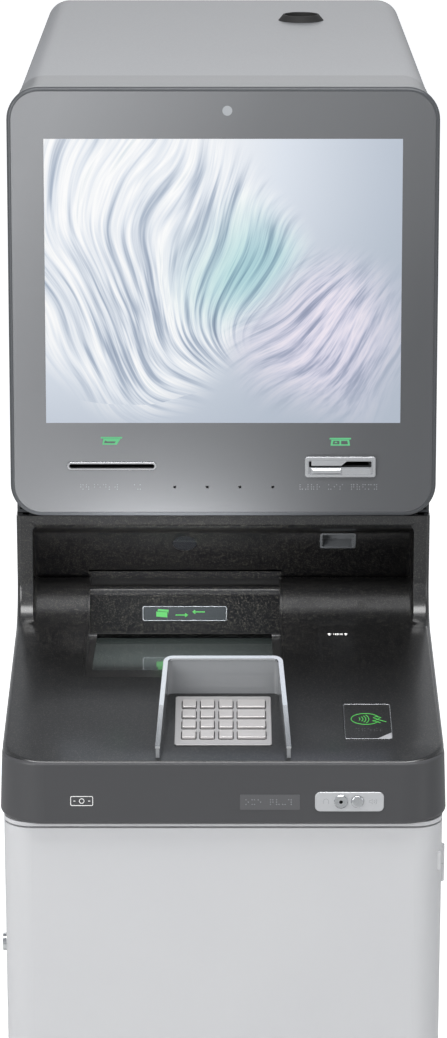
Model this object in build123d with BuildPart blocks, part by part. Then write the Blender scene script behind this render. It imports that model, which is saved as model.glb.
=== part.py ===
"""Lobby cash machine: cabinet with safe, sloping console, tilted touch display and hood.

Millimetres, +Z up. The origin is on the floor, under the centre of the cabinet's footprint.
+X is the right-hand side for someone who stands at the machine and +Y runs to its rear.
"""

import os
from math import atan2, cos, degrees, radians, sin, tan

from build123d import *

os.makedirs("parts", exist_ok=True)

# --- overall sizes
HALF = 221.0  # half the width of the cabinet and of the hood
FRONT = -555.0  # cabinet front face
REAR = 555.0  # cabinet rear face
BASE_H = 60.0  # plinth height
DECK_Z = 764.0  # underside of the deck that closes the cabinet
DECK_T = 4.0
HOOD_TOP = 1450.0
SHEET = 2.0  # painted steel sheet
CABINET_R = 29.0  # vertical front corners of the cabinet
HOOD_R = 28.0  # long top edges of the hood
HOOD_FRONT = -110.0
FIT = 0.2  # clearance all round a piece that is set into a cut-out

# --- display
TILT = 4.66  # degrees that the panel leans back
PANEL_Y = -214.9  # top edge of the picture area
PANEL_Z = 1400.8
PICTURE_W = 376.3  # 19 inch, 5:4
PICTURE_H = 301.1
RING_HALF = 227.0
RING_TOP = 54.0  # above the picture's top edge, measured on the panel
RING_BOTTOM = -402.0
RING_R = 34.0
RING_DEPTH = 25.0
RING_CHAMFER = 4.0
GLASS_T = 4.0
GLASS_MARGIN = 4.5  # ring outside to glass edge
GLASS_LEDGE = 7.0
COLLAR_HALF = 221.5
COLLAR_TOP = 1452.0
COLLAR_BOTTOM = 997.5
COLLAR_WALL = 3.0
COLLAR_R = 30.0

# --- console
SIDE = 222.0  # half the width of the console moulding
WALL = 3.5
DESK_FRONT = -557.0
DESK_SLOPE = 10.0  # degrees
DESK_Z = 833.0  # desk height above the cabinet's front face
PLAN_R = 44.0  # front corners in plan
CHEEK_Y = -236.0  # front of the cheeks and of the lip under the display
CHEEK_IN = 205.0  # inner faces of the cheeks
CHEEK_SWEEP = 45.0
RECESS_R = 5.0  # corners inside the recess
RECESS_FRONT = -330.0
CONSOLE_TOP = 997.0
CONSOLE_REAR = -110.3
SKIRT_BOTTOM = 800.0
APRON_TOP = 832.5
APRON_BOTTOM = 768.0
APRON_TOP_Y = -560.5
APRON_BOTTOM_Y = -563.0
APRON_HALF_TOP = 222.5
APRON_WALL = 3.0
APRON_REAR = -112.0
EDGE_R = 5.0

# --- recess above the desk: section points (y, z)
WALL_TOP = (-215.0, 974.0)
CREASE = (-167.0, 908.0)
CREST = (-205.0, 913.5)
ROLL_FOOT_Y = -272.0
ROLL_RISE = ((-246.0, 892.0), (-226.0, 907.0))  # from the desk up to the crest
ROLL_FALL = (-186.0, 912.0)  # between the crest and the crease
ROLL_INSIDE = ((-268.0, 880.05), (-236.0, 892.0), (-214.0, 905.5), (-203.0, 908.8), (-186.0, 908.0),
               (-165.0, 903.4))

# --- cash slot
CASH_LEFT = -147.0
CASH_RIGHT = 64.0
TRAY_FRONT_Y = -382.0
TRAY_REAR_Y = -205.0
TRAY_REAR_Z = 851.5
LABEL_TOP_Z = 904.6
SHUTTER_LEFT = -138.0
SHUTTER_RIGHT = 53.0
SHUTTER_FRONT_Y = -352.0
SHUTTER_T = 3.0
SHUTTER_SINK = 2.5
SHUTTER_LAP = 3.0

# --- key pad, on the desk: distances up the slope from the cabinet's front face
PAD_W = 98.0
PAD_LOW = 31.1
PAD_HIGH = 131.9
PAD_PROUD = 1.5
PAD_DEPTH = 30.0
KEY_COLUMNS = (-34.7, -16.1, 2.8, 28.7)
KEY_WIDTHS = (13.8, 13.8, 13.8, 28.3)
KEY_LOW_ROW = 49.8
KEY_PITCH = 21.17
KEY_H = 15.5
KEY_PROUD = 2.5
KEY_GAP = 0.25
KEY_NAMES = (
    ("blank", "0", "double_zero", "enter"),
    ("7", "8", "9", "help"),
    ("4", "5", "6", "clear"),
    ("1", "2", "3", "cancel"),
)

# --- privacy shield round the key pad
SHIELD_BACK_Y = -413.0
SHIELD_FRONT_Y = -548.0
SHIELD_BACK_HALF = 60.5
SHIELD_FRONT_HALF = 67.3
SHIELD_BACK_Z = 895.0
SHIELD_KINK = (-490.0, 868.0)
SHIELD_FRONT_Z = 844.0
SHIELD_WALL = 3.5
SHIELD_R = 9.0
TRIM_H = 2.0
TRIM_OVER = 0.5

# --- contactless reader, on the desk
TAP_LEFT = 122.4
TAP_RIGHT = 171.0
TAP_LOW = 43.9
TAP_HIGH = 116.8

# --- slots in the glass, on the panel
RECEIPT_X = -118.7
RECEIPT_T = -347.8
RECEIPT_W = 95.5
RECEIPT_H = 9.0
RECEIPT_SLOT = (91.0, 4.8)
CARD_X = 124.8
CARD_T = -348.7
CARD_W = 75.4
CARD_H = 22.5
CARD_MOUTH = (66.6, 6.4)
MICS_T = -370.5
MICS_X = (-51.7, -17.0, 17.9, 52.8)
WEBCAM = (4.3, 29.3)

# --- sound plate on the apron, measured down from the apron's top edge
PLATE_LEFT = 91.4
PLATE_RIGHT = 160.2
PLATE_TOP = -29.5
PLATE_BOTTOM = -49.7
JACK_X = 117.3
BUTTON_X = 133.8
SOUND_T = -39.1
JACK_HOLE = 3.6
BUTTON_D = 12.4

# --- windows on the overhanging wall, measured down it from its top
EYE_X = -42.0
EYE_S = -22.0
EYE_D = 25.6
SCAN_X = 124.3
SCAN_S = -17.0
SCAN_W = 38.7
SCAN_H = 26.0

# --- grommet in the hood's top
GROMMET_X = 93.6
GROMMET_Y = 360.0
GROMMET_D = 54.6
GROMMET_HOLE = 40.0
GROMMET_H = 7.0

# --- front door and its hinges
SEAM_DOOR_Y = -522.5
SEAM_SIDE_Y = -519.0
DOOR_Z0 = 63.0
DOOR_Z1 = 762.0
HINGE_X = 220.0
HINGE_Y = -520.75
HINGE_R = 4.2
PIN_R = 2.0
PIN_PLAY = 0.06
HINGE_ZS = (693.0, 110.0)
HINGE_LEN = 39.0
LOCK_Y = -507.0
LOCK_Z = 620.0
LOCK_D = 18.0
LOCK_PROUD = 4.5

# --- safe
SAFE_HALF = 205.0
SAFE_FRONT = -300.0
SAFE_REAR = 553.0
SAFE_TOP = 750.0
SAFE_WALL = 10.0
SAFE_DOOR_T = 20.0
SAFE_DOOR_GAP = 3.0
SAFE_HINGE = (196.0, 561.0)
SAFE_HINGE_R = 7.0
SAFE_PIN_R = 4.0
SAFE_HINGE_ZS = (150.0, 600.0)
SAFE_HINGE_LEN = 80.0
ANCHOR_X = 150.0
ANCHOR_Y = 350.0
ANCHOR_R = 8.0
HANDLE_X = -110.0
HANDLE_LEN = 88.0
DIAL_X = -40.0
FITTINGS_Z = 430.0
BOLT_ZS = (180.0, 430.0, 680.0)
CASSETTES = 4
CASSETTE_PITCH = 160.0
CASSETTE_H = 120.0
CASSETTE_HALF = 130.0
CASSETTE_FRONT = -120.0
CASSETTE_REAR = 480.0
RUNNER_T = 3.0

# --- service door in the hood's rear
SERVICE_HALF = 186.0
SERVICE_Z0 = 850.0
SERVICE_Z1 = 1380.0
SERVICE_GAP = 2.0
SERVICE_T = 12.0
SERVICE_HINGE = (193.0, 561.0)
SERVICE_HINGE_R = 5.0
SERVICE_PIN_R = 2.5
SERVICE_HINGE_ZS = (930.0, 1250.0)
SERVICE_HINGE_LEN = 50.0
SERVICE_LOCK = (-166.0, 1115.0)

# --- receipt paper
ROLL_D = 76.0
ROLL_W = 80.0
ROLL_Y = -40.0
ROLL_Z = 1075.0
PRINTER_REAR = -175.0
SPINDLE_R = 6.0

# --- planes
PANEL = Plane(origin=(0, PANEL_Y, PANEL_Z), x_dir=(1, 0, 0),
              z_dir=(0, -cos(radians(TILT)), sin(radians(TILT))))
DESK = Plane(origin=(0, FRONT, DESK_Z), x_dir=(1, 0, 0),
             z_dir=(0, -sin(radians(DESK_SLOPE)), cos(radians(DESK_SLOPE))))
APRON_LEAN = atan2(APRON_TOP_Y - APRON_BOTTOM_Y, APRON_TOP - APRON_BOTTOM)
APRON_FACE = Plane(origin=(0, APRON_TOP_Y, APRON_TOP), x_dir=(1, 0, 0),
                   z_dir=(0, -cos(APRON_LEAN), sin(APRON_LEAN)))
WALL_LEAN = atan2(CREASE[0] - WALL_TOP[0], WALL_TOP[1] - CREASE[1])
OVERHANG = Plane(origin=(0, *WALL_TOP), x_dir=(1, 0, 0),
                 z_dir=(0, -cos(WALL_LEAN), -sin(WALL_LEAN)))
TRAY_FRONT_Z = DESK_Z + (TRAY_FRONT_Y - FRONT) * tan(radians(DESK_SLOPE))
SWEEP_MIDDLE = (CHEEK_Y - CHEEK_SWEEP,
                DESK_Z + (CHEEK_Y - CHEEK_SWEEP - FRONT) * tan(radians(DESK_SLOPE)) +
                CHEEK_SWEEP / cos(radians(DESK_SLOPE)))
TRAY_LEAN = atan2(TRAY_FRONT_Z - TRAY_REAR_Z, TRAY_REAR_Y - TRAY_FRONT_Y)
TRAY = Plane(origin=(0, TRAY_FRONT_Y, TRAY_FRONT_Z), x_dir=(1, 0, 0),
             z_dir=(0, sin(TRAY_LEAN), cos(TRAY_LEAN)))


def desk_z(y):
    """Height of the desk surface at depth y."""
    return DESK_Z + (y - FRONT) * tan(radians(DESK_SLOPE))


def tray_s(y):
    """Distance down the tray plane, from its front edge, at depth y."""
    return (y - TRAY_FRONT_Y) / cos(TRAY_LEAN)


def block(low, high, mode=Mode.ADD):
    """A box between two corners, in the open part."""
    with Locations(low):
        Box(*(b - a for a, b in zip(low, high)), align=(Align.MIN,) * 3, mode=mode)


def finish(piece, name):
    """Label a piece and write it out."""
    piece.part.label = name
    export_step(piece.part, f"parts/{name}.step")


def section(points):
    """A closed outline in the YZ plane, from (y, z) points."""
    with BuildSketch(Plane.YZ) as outline:
        with BuildLine():
            Polyline(*points, close=True)
        make_face()
    return outline.sketch


def across(sketch, left, right, mode=Mode.ADD):
    """Extrude a YZ section from x = left to x = right, in the open part."""
    extrude(sketch.moved(Location((left, 0, 0))), amount=right - left, mode=mode)


def plan(half, front, rear, corner):
    """A plan outline with two round front corners, on the XY plane."""
    with BuildSketch(Plane.XY) as outline:
        with Locations((0, (front + rear) / 2)):
            Rectangle(2 * half, rear - front)
        fillet(outline.vertices().group_by(Axis.Y)[0], corner)
    return outline.sketch


def rounded(plane, x, y, width, height, corner):
    """A rounded rectangle on a plane."""
    with BuildSketch(plane) as outline:
        with Locations((x, y)):
            RectangleRounded(width, height, corner)
    return outline.sketch


def disc(plane, x, y, radius):
    """A disc on a plane."""
    with BuildSketch(plane) as outline:
        with Locations((x, y)):
            Circle(radius)
    return outline.sketch


# ---------------------------------------------------------------- base, cabinet and safe

def anchor_points():
    return [(sx * ANCHOR_X, sy * ANCHOR_Y) for sx in (-1, 1) for sy in (-1, 1)]


def base_frame():
    plate = 6.0
    half, front, rear = 205.0, -530.0, 540.0
    with BuildPart() as piece:
        block((-half, front, 0), (half, rear, BASE_H - plate))
        block((-half + plate, front + plate, plate), (half - plate, rear - plate, BASE_H - plate),
              mode=Mode.SUBTRACT)
        extrude(plan(HALF, FRONT, REAR, CABINET_R).moved(Location((0, 0, BASE_H - plate))), amount=plate)
        for y in (rear - 3, front + 3):
            with Locations((0, y, BASE_H / 2 - plate / 2)):
                Box(260, 2 * plate, 26, mode=Mode.SUBTRACT)
        for x, y in anchor_points():
            with Locations((x, y, BASE_H / 2)):
                Cylinder(ANCHOR_R, BASE_H + 2, mode=Mode.SUBTRACT)
    finish(piece, "base_frame")


def cabinet_sides():
    back_return = 15.0
    with BuildPart() as piece:
        for side in (-1, 1):
            outer, inner = side * HALF, side * (HALF - SHEET)
            turn = side * (HALF - back_return)
            low, high = min(outer, inner), max(outer, inner)
            block((low, SEAM_SIDE_Y, BASE_H), (high, REAR, DECK_Z))
            block((min(outer, turn), REAR - SHEET, BASE_H), (max(outer, turn), REAR, DECK_Z))
        for z in HINGE_ZS:
            block((HINGE_X - 6, SEAM_SIDE_Y - 1, z - 1),
                  (HALF + 1, HINGE_Y + HINGE_R + 0.8, z + HINGE_LEN + 1),
                  mode=Mode.SUBTRACT)
        with Locations(Location((-HALF, LOCK_Y, LOCK_Z), (0, 90, 0))):
            Cylinder(6 + FIT, 20, mode=Mode.SUBTRACT)
    finish(piece, "cabinet_sides")


def cabinet_deck():
    with BuildPart() as piece:
        extrude(plan(HALF, FRONT, REAR, CABINET_R).moved(Location((0, 0, DECK_Z))), amount=DECK_T)
        block((-160, -470, DECK_Z - 1), (80, -130, DECK_Z + DECK_T + 1), mode=Mode.SUBTRACT)
        block((100, -470, DECK_Z - 1), (190, -130, DECK_Z + DECK_T + 1), mode=Mode.SUBTRACT)
    finish(piece, "cabinet_deck")


def door_hinges():
    """Fixed halves of the front door's two barrel hinges, with their pins."""
    with BuildPart() as piece:
        for z in HINGE_ZS:
            half = HINGE_LEN / 2 - 0.3
            with Locations((HINGE_X, HINGE_Y, z + half / 2)):
                Cylinder(HINGE_R, half)
            with Locations((HINGE_X, HINGE_Y, z + HINGE_LEN / 2)):
                Cylinder(PIN_R, HINGE_LEN - 3)
            block((HALF - SHEET - 2.4, HINGE_Y, z), (HALF - SHEET, HINGE_Y + 28, z + half))
    finish(piece, "door_hinges")


def front_door():
    """Light grey pressed door that wraps round both front corners."""
    with BuildPart() as piece:
        outer = plan(HALF, FRONT, SEAM_DOOR_Y, CABINET_R)
        inner = plan(HALF - SHEET, FRONT + SHEET, SEAM_DOOR_Y + 5, CABINET_R - SHEET)
        extrude(outer.moved(Location((0, 0, DOOR_Z0))), amount=DOOR_Z1 - DOOR_Z0)
        extrude(inner.moved(Location((0, 0, DOOR_Z0 + SHEET))), amount=DOOR_Z1 - DOOR_Z0 - 2 * SHEET,
                mode=Mode.SUBTRACT)
        for z in HINGE_ZS:
            low = z + HINGE_LEN / 2 + 0.3
            block((HINGE_X - 5, HINGE_Y - HINGE_R - 0.8, z - 1),
                  (HALF + 1, SEAM_DOOR_Y + 1, z + HINGE_LEN + 1),
                  mode=Mode.SUBTRACT)
            block((HINGE_X - 16, FRONT + 12, low), (HINGE_X - 1, HINGE_Y - 2, z + HINGE_LEN))
            with Locations((HINGE_X, HINGE_Y, (low + z + HINGE_LEN) / 2)):
                Cylinder(HINGE_R, z + HINGE_LEN - low)
            with Locations((HINGE_X, HINGE_Y, z + HINGE_LEN / 2)):
                Cylinder(PIN_R + PIN_PLAY, HINGE_LEN - 2, mode=Mode.SUBTRACT)
        block((-HALF + SHEET - 0.5, SEAM_DOOR_Y - 4, LOCK_Z - 30), (-HALF + 24, SEAM_DOOR_Y, LOCK_Z + 30))
        block((-HALF + 10.5, SEAM_DOOR_Y - 5, LOCK_Z - 8), (-HALF + 18.5, SEAM_DOOR_Y + 1, LOCK_Z + 26),
              mode=Mode.SUBTRACT)
    finish(piece, "front_door")


def door_lock():
    """Cam lock in the cabinet's left side; its cam turns behind the door's edge."""
    with BuildPart() as piece:
        with Locations(Location((-HALF - LOCK_PROUD / 2, LOCK_Y, LOCK_Z), (0, 90, 0))):
            Cylinder(LOCK_D / 2, LOCK_PROUD)
        with Locations(Location((-HALF + 8, LOCK_Y, LOCK_Z), (0, 90, 0))):
            Cylinder(6, 16)
        block((-HALF + 13, LOCK_Y - 5, LOCK_Z - 5), (-HALF + 16, LOCK_Y + 5, LOCK_Z + 26))
        block((-HALF - LOCK_PROUD - 1, LOCK_Y - 0.8, LOCK_Z - 4.5),
              (-HALF - LOCK_PROUD + 1.5, LOCK_Y + 0.8, LOCK_Z + 4.5), mode=Mode.SUBTRACT)
    finish(piece, "door_lock")


def runner_z(level):
    """Top of the runners that carry one cassette."""
    return BASE_H + SAFE_WALL + 16 + level * CASSETTE_PITCH


def safe_body():
    inner = SAFE_HALF - SAFE_WALL
    with BuildPart() as piece:
        block((-SAFE_HALF, SAFE_FRONT, BASE_H), (SAFE_HALF, SAFE_REAR, SAFE_TOP))
        block((-inner, SAFE_FRONT + SAFE_WALL, BASE_H + SAFE_WALL),
              (inner, SAFE_REAR + 1, SAFE_TOP - SAFE_WALL),
              mode=Mode.SUBTRACT)
        block((-100, -260, SAFE_TOP - SAFE_WALL - 1), (20, -190, SAFE_TOP + 1), mode=Mode.SUBTRACT)
        for level in range(CASSETTES):
            for side in (-1, 1):
                xs = sorted((side * inner, side * (CASSETTE_HALF - 14)))
                block((xs[0], SAFE_FRONT + SAFE_WALL, runner_z(level) - RUNNER_T),
                      (xs[1], CASSETTE_REAR - 10, runner_z(level)))
        for z in BOLT_ZS:
            with Locations(Location((-SAFE_HALF + 4, SAFE_REAR - SAFE_DOOR_T - 8, z), (0, 90, 0))):
                Cylinder(6.5, 16, mode=Mode.SUBTRACT)
        for x, y in anchor_points():
            with Locations((x, y, BASE_H + SAFE_WALL / 2)):
                Cylinder(ANCHOR_R, SAFE_WALL + 2, mode=Mode.SUBTRACT)
    finish(piece, "safe_body")


def rear_hinges(name, hinge, radius, pin, zs, length, foot):
    """Fixed lower halves of barrel hinges with pins; foot is the block that carries each."""
    with BuildPart() as piece:
        for z in zs:
            half = length / 2 - 0.3
            with Locations((*hinge, z + half / 2)):
                Cylinder(radius, half)
            with Locations((*hinge, z + length / 2)):
                Cylinder(pin, length - 4)
            block((foot[0], foot[1], z), (foot[2], hinge[1], z + half))
    finish(piece, name)


def hinge_leaf(hinge, radius, pin, zs, length, reach, door_half, face):
    """Moving upper halves, added to the open door part, bored for the pins."""
    for z in zs:
        low = z + length / 2 + 0.3
        with Locations((*hinge, (low + z + length) / 2)):
            Cylinder(radius, z + length - low)
        block((hinge[0] - reach, face + 0.4, low), (hinge[0] - 1, hinge[1], z + length))
        block((hinge[0] - reach, face - 1, low), (door_half - 1, face + 0.5, z + length))
        with Locations((*hinge, z + length / 2)):
            Cylinder(pin + PIN_PLAY, length - 3, mode=Mode.SUBTRACT)


def safe_door():
    half = SAFE_HALF - SAFE_WALL - SAFE_DOOR_GAP
    z0 = BASE_H + SAFE_WALL + SAFE_DOOR_GAP
    z1 = SAFE_TOP - SAFE_WALL - SAFE_DOOR_GAP
    with BuildPart() as piece:
        block((-half, SAFE_REAR - SAFE_DOOR_T, z0), (half, SAFE_REAR, z1))
        hinge_leaf(SAFE_HINGE, SAFE_HINGE_R, SAFE_PIN_R, SAFE_HINGE_ZS, SAFE_HINGE_LEN, 50, half,
                   SAFE_REAR)
        for x in (HANDLE_X, DIAL_X):
            with Locations(Location((x, SAFE_REAR, FITTINGS_Z), (90, 0, 0))):
                Cylinder(8 + PIN_PLAY, 4 * SAFE_DOOR_T, mode=Mode.SUBTRACT)
    finish(piece, "safe_door")


def safe_handle():
    with BuildPart() as piece:
        with Locations(Location((HANDLE_X, SAFE_REAR + 7, FITTINGS_Z), (90, 0, 0))):
            Cylinder(24, 13)
        with Locations(Location((HANDLE_X, SAFE_REAR - 5, FITTINGS_Z), (90, 0, 0))):
            Cylinder(8, 28)
        with Locations(Location((HANDLE_X, SAFE_REAR + 22, FITTINGS_Z), (90, 0, 0))):
            Cylinder(11, 20)
        block((HANDLE_X - 9, SAFE_REAR + 20, FITTINGS_Z - HANDLE_LEN),
              (HANDLE_X + 9, SAFE_REAR + 32, FITTINGS_Z))
        fillet(piece.edges().filter_by(Axis.Z).group_by(Axis.Y)[-1], 4)
    finish(piece, "safe_handle")


def safe_bolt_bar():
    """Boltwork behind the safe door: a bar with three round bolts, drawn back at rest."""
    y = SAFE_REAR - SAFE_DOOR_T - 8
    left = -(SAFE_HALF - SAFE_WALL - SAFE_DOOR_GAP)
    with BuildPart() as piece:
        block((left + 22, y - 5, BOLT_ZS[0] - 20), (left + 42, y + 7.7, BOLT_ZS[-1] + 20))
        for z in BOLT_ZS:
            with Locations(Location((left + 12, y, z), (0, 90, 0))):
                Cylinder(6, 22)
    finish(piece, "safe_bolt_bar")


def lock_dial():
    with BuildPart() as piece:
        with Locations(Location((DIAL_X, SAFE_REAR + 5, FITTINGS_Z), (90, 0, 0))):
            Cylinder(34, 9)
        with Locations(Location((DIAL_X, SAFE_REAR + 18, FITTINGS_Z), (90, 0, 0))):
            Cylinder(19, 18)
        chamfer(piece.faces().sort_by(Axis.Y)[-1].edges(), 2)
        with Locations(Location((DIAL_X, SAFE_REAR - 6, FITTINGS_Z), (90, 0, 0))):
            Cylinder(8, 20)
        block((DIAL_X - 1, SAFE_REAR + 6, FITTINGS_Z + 22), (DIAL_X + 1, SAFE_REAR + 11, FITTINGS_Z + 33),
              mode=Mode.SUBTRACT)
    finish(piece, "lock_dial")


def cash_cassettes():
    """Four banknote cassettes on their runners."""
    y0, y1 = CASSETTE_FRONT, CASSETTE_REAR
    with BuildPart() as piece:
        for level in range(CASSETTES):
            z = runner_z(level)
            block((-CASSETTE_HALF, y0, z), (CASSETTE_HALF, y1, z + CASSETTE_H))
            block((-60, y1 - 12, z + 40), (60, y1 + 1, z + 90), mode=Mode.SUBTRACT)
            block((-60, y1 - 8, z + 62), (60, y1, z + 70))
    finish(piece, "cash_cassettes")


# ---------------------------------------------------------------- hood and service door

def hood_outline(half, top, corner):
    with BuildSketch(Plane.XZ.offset(-HOOD_FRONT)) as outline:
        with Locations((0, (DECK_Z + DECK_T + top) / 2)):
            Rectangle(2 * half, top - DECK_Z - DECK_T)
        fillet(outline.vertices().group_by(Axis.Y)[-1], corner)
    return outline.sketch


def top_hood():
    length = REAR - HOOD_FRONT
    with BuildPart() as piece:
        extrude(hood_outline(HALF, HOOD_TOP, HOOD_R), amount=-length)
        fillet(piece.faces().sort_by(Axis.Y)[-1].edges().group_by(Axis.Z)[-1], 3)
        extrude(hood_outline(HALF - SHEET, HOOD_TOP - SHEET, HOOD_R - SHEET), amount=-(length - SHEET),
                mode=Mode.SUBTRACT)
        block((-SERVICE_HALF - SERVICE_GAP, REAR - 5, SERVICE_Z0 - SERVICE_GAP),
              (SERVICE_HALF + SERVICE_GAP, REAR + 5, SERVICE_Z1 + SERVICE_GAP), mode=Mode.SUBTRACT)
        with Locations((GROMMET_X, GROMMET_Y, HOOD_TOP)):
            Cylinder(GROMMET_HOLE / 2 + 3 + FIT, 20, mode=Mode.SUBTRACT)
        for row in range(6):
            with Locations((0, REAR, SERVICE_Z0 - 60 + 9 * row)):
                Box(220, 10, 4, mode=Mode.SUBTRACT)
    finish(piece, "top_hood")


def cable_grommet():
    low = HOOD_TOP - SHEET - 4
    with BuildPart() as piece:
        with BuildSketch(Plane.XZ):
            with BuildLine():
                Polyline((GROMMET_HOLE / 2, low), (GROMMET_HOLE / 2 + 3, low),
                         (GROMMET_HOLE / 2 + 3, HOOD_TOP),
                         (GROMMET_D / 2, HOOD_TOP), (GROMMET_HOLE / 2 + 1.5, HOOD_TOP + GROMMET_H),
                         (GROMMET_HOLE / 2, HOOD_TOP + GROMMET_H), close=True)
            make_face()
        revolve(axis=Axis.Z)
    placed = piece.part.moved(Location((GROMMET_X, GROMMET_Y, 0)))
    placed.label = "cable_grommet"
    export_step(placed, "parts/cable_grommet.step")


def service_door():
    with BuildPart() as piece:
        block((-SERVICE_HALF, REAR - SERVICE_T, SERVICE_Z0), (SERVICE_HALF, REAR, SERVICE_Z1))
        block((-SERVICE_HALF + SHEET, REAR - SERVICE_T - 1, SERVICE_Z0 + SHEET),
              (SERVICE_HALF - SHEET, REAR - SHEET, SERVICE_Z1 - SHEET), mode=Mode.SUBTRACT)
        hinge_leaf(SERVICE_HINGE, SERVICE_HINGE_R, SERVICE_PIN_R, SERVICE_HINGE_ZS, SERVICE_HINGE_LEN, 32,
                   SERVICE_HALF, REAR)
        with Locations(Location((SERVICE_LOCK[0], REAR, SERVICE_LOCK[1]), (90, 0, 0))):
            Cylinder(6 + FIT, 10, mode=Mode.SUBTRACT)
        for row in range(8):
            with Locations((0, REAR, SERVICE_Z1 - 60 - 9 * row)):
                Box(200, 10, 4, mode=Mode.SUBTRACT)
    finish(piece, "service_door")


def service_lock():
    x, z = SERVICE_LOCK
    with BuildPart() as piece:
        with Locations(Location((x, REAR + 2, z), (90, 0, 0))):
            Cylinder(9, 4)
        with Locations(Location((x, REAR - 8, z), (90, 0, 0))):
            Cylinder(6, 20)
        block((x - 5, REAR - 17, z - 5), (x + 5, REAR - 14, z + 24))
        block((x - 0.8, REAR + 2, z - 4.5), (x + 0.8, REAR + 5, z + 4.5), mode=Mode.SUBTRACT)
    finish(piece, "service_lock")


# ---------------------------------------------------------------- display

RING_MID = (RING_TOP + RING_BOTTOM) / 2
RING_SPAN = RING_TOP - RING_BOTTOM


def display_bezel():
    """Moulded ring that holds the glass, flush with its front."""
    glass_half = RING_HALF - GLASS_MARGIN
    glass_span = RING_SPAN - 2 * GLASS_MARGIN
    corner = RING_R - GLASS_MARGIN
    opening = 2 * (glass_half - GLASS_LEDGE)
    with BuildPart() as piece:
        extrude(rounded(PANEL, 0, RING_MID, 2 * RING_HALF, RING_SPAN, RING_R), amount=-RING_DEPTH)
        fillet(piece.faces().sort_by(Axis.Y)[0].edges(), RING_CHAMFER)
        extrude(rounded(PANEL.offset(1), 0, RING_MID, 2 * glass_half + 2 * FIT, glass_span + 2 * FIT, corner),
                amount=-GLASS_T - 1, mode=Mode.SUBTRACT)
        extrude(rounded(PANEL, 0, RING_MID, opening, glass_span - 2 * GLASS_LEDGE, corner - GLASS_LEDGE),
                amount=-RING_DEPTH - 1, mode=Mode.SUBTRACT)
    finish(piece, "display_bezel")


def front_glass():
    width = 2 * (RING_HALF - GLASS_MARGIN)
    with BuildPart() as piece:
        extrude(rounded(PANEL, 0, RING_MID, width, RING_SPAN - 2 * GLASS_MARGIN, RING_R - GLASS_MARGIN),
                amount=-GLASS_T)
        cut = -3 * GLASS_T
        front = PANEL.offset(GLASS_T)
        extrude(rounded(front, RECEIPT_X, RECEIPT_T, RECEIPT_W + 2 * FIT, RECEIPT_H + 2 * FIT, RECEIPT_H / 2),
                amount=cut, mode=Mode.SUBTRACT)
        extrude(rounded(front, CARD_X, CARD_T, CARD_W + 2 * FIT, CARD_H + 2 * FIT, 3), amount=cut,
                mode=Mode.SUBTRACT)
        for x in MICS_X:
            extrude(disc(front, x, MICS_T, 1.5), amount=cut, mode=Mode.SUBTRACT)
    finish(piece, "front_glass")


def lcd_module():
    back = PANEL.offset(-GLASS_T)
    with BuildPart() as piece:
        extrude(rounded(back, 0, -PICTURE_H / 2, PICTURE_W + 20, PICTURE_H + 22, 2), amount=-15)
        extrude(rounded(back.offset(-15), 0, -PICTURE_H / 2, 260, 180, 4), amount=-18)
    finish(piece, "lcd_module")


def webcam():
    back = PANEL.offset(-GLASS_T)
    with BuildPart() as piece:
        extrude(disc(back, *WEBCAM, 5.5), amount=-9)
        extrude(rounded(back.offset(-9), *WEBCAM, 30, 11, 2), amount=-5)
    finish(piece, "webcam")


def display_collar():
    """Dark four-sided housing between the ring and the hood."""
    height = COLLAR_TOP - COLLAR_BOTTOM
    middle = (COLLAR_TOP + COLLAR_BOTTOM) / 2
    rear = Plane.XZ.offset(-HOOD_FRONT)
    with BuildPart() as piece:
        with BuildSketch(rear) as outer:
            with Locations((0, middle)):
                Rectangle(2 * COLLAR_HALF, height)
            fillet(outer.vertices().group_by(Axis.Y)[-1], COLLAR_R)
        extrude(amount=160)
        with BuildSketch(rear) as inner:
            with Locations((0, middle)):
                Rectangle(2 * (COLLAR_HALF - COLLAR_WALL), height - 2 * COLLAR_WALL)
            fillet(inner.vertices().group_by(Axis.Y)[-1], COLLAR_R - COLLAR_WALL)
        extrude(amount=160, mode=Mode.SUBTRACT)
        split(bisect_by=PANEL.offset(-RING_DEPTH), keep=Keep.BOTTOM)
        block((-80, -220, COLLAR_BOTTOM - 1), (80, -130, COLLAR_BOTTOM + COLLAR_WALL + 1), mode=Mode.SUBTRACT)
    finish(piece, "display_collar")


def receipt_bezel():
    with BuildPart() as piece:
        extrude(rounded(PANEL.offset(1), RECEIPT_X, RECEIPT_T, RECEIPT_W, RECEIPT_H, RECEIPT_H / 2 - 0.01),
                amount=-10)
        chamfer(piece.faces().sort_by(Axis.Y)[0].edges(), 0.7)
        extrude(rounded(PANEL.offset(-GLASS_T), RECEIPT_X, RECEIPT_T, RECEIPT_W + 8, RECEIPT_H + 8, 4),
                amount=-3)
        extrude(rounded(PANEL.offset(2), RECEIPT_X, RECEIPT_T, *RECEIPT_SLOT, RECEIPT_SLOT[1] / 2 - 0.01),
                amount=-20, mode=Mode.SUBTRACT)
    finish(piece, "receipt_bezel")


def receipt_printer():
    """Printer behind the receipt slot, with the two arms and spindle that carry the paper roll."""
    front = PANEL.offset(-10)
    arm = ROLL_W / 2 + 1
    with BuildPart() as piece:
        extrude(rounded(front, RECEIPT_X, RECEIPT_T + 8, 100, 44, 2), amount=-75)
        extrude(rounded(front.offset(1), RECEIPT_X, RECEIPT_T, 92, 5, 1), amount=-30, mode=Mode.SUBTRACT)
        for side in (-1, 1):
            xs = sorted((RECEIPT_X + side * arm, RECEIPT_X + side * (arm + 4)))
            block((xs[0], PRINTER_REAR, ROLL_Z - 40), (xs[1], ROLL_Y + 12, ROLL_Z + 10))
        with Locations(Location((RECEIPT_X, ROLL_Y, ROLL_Z), (0, 90, 0))):
            Cylinder(SPINDLE_R, 2 * arm + 4)
    finish(piece, "receipt_printer")


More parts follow.
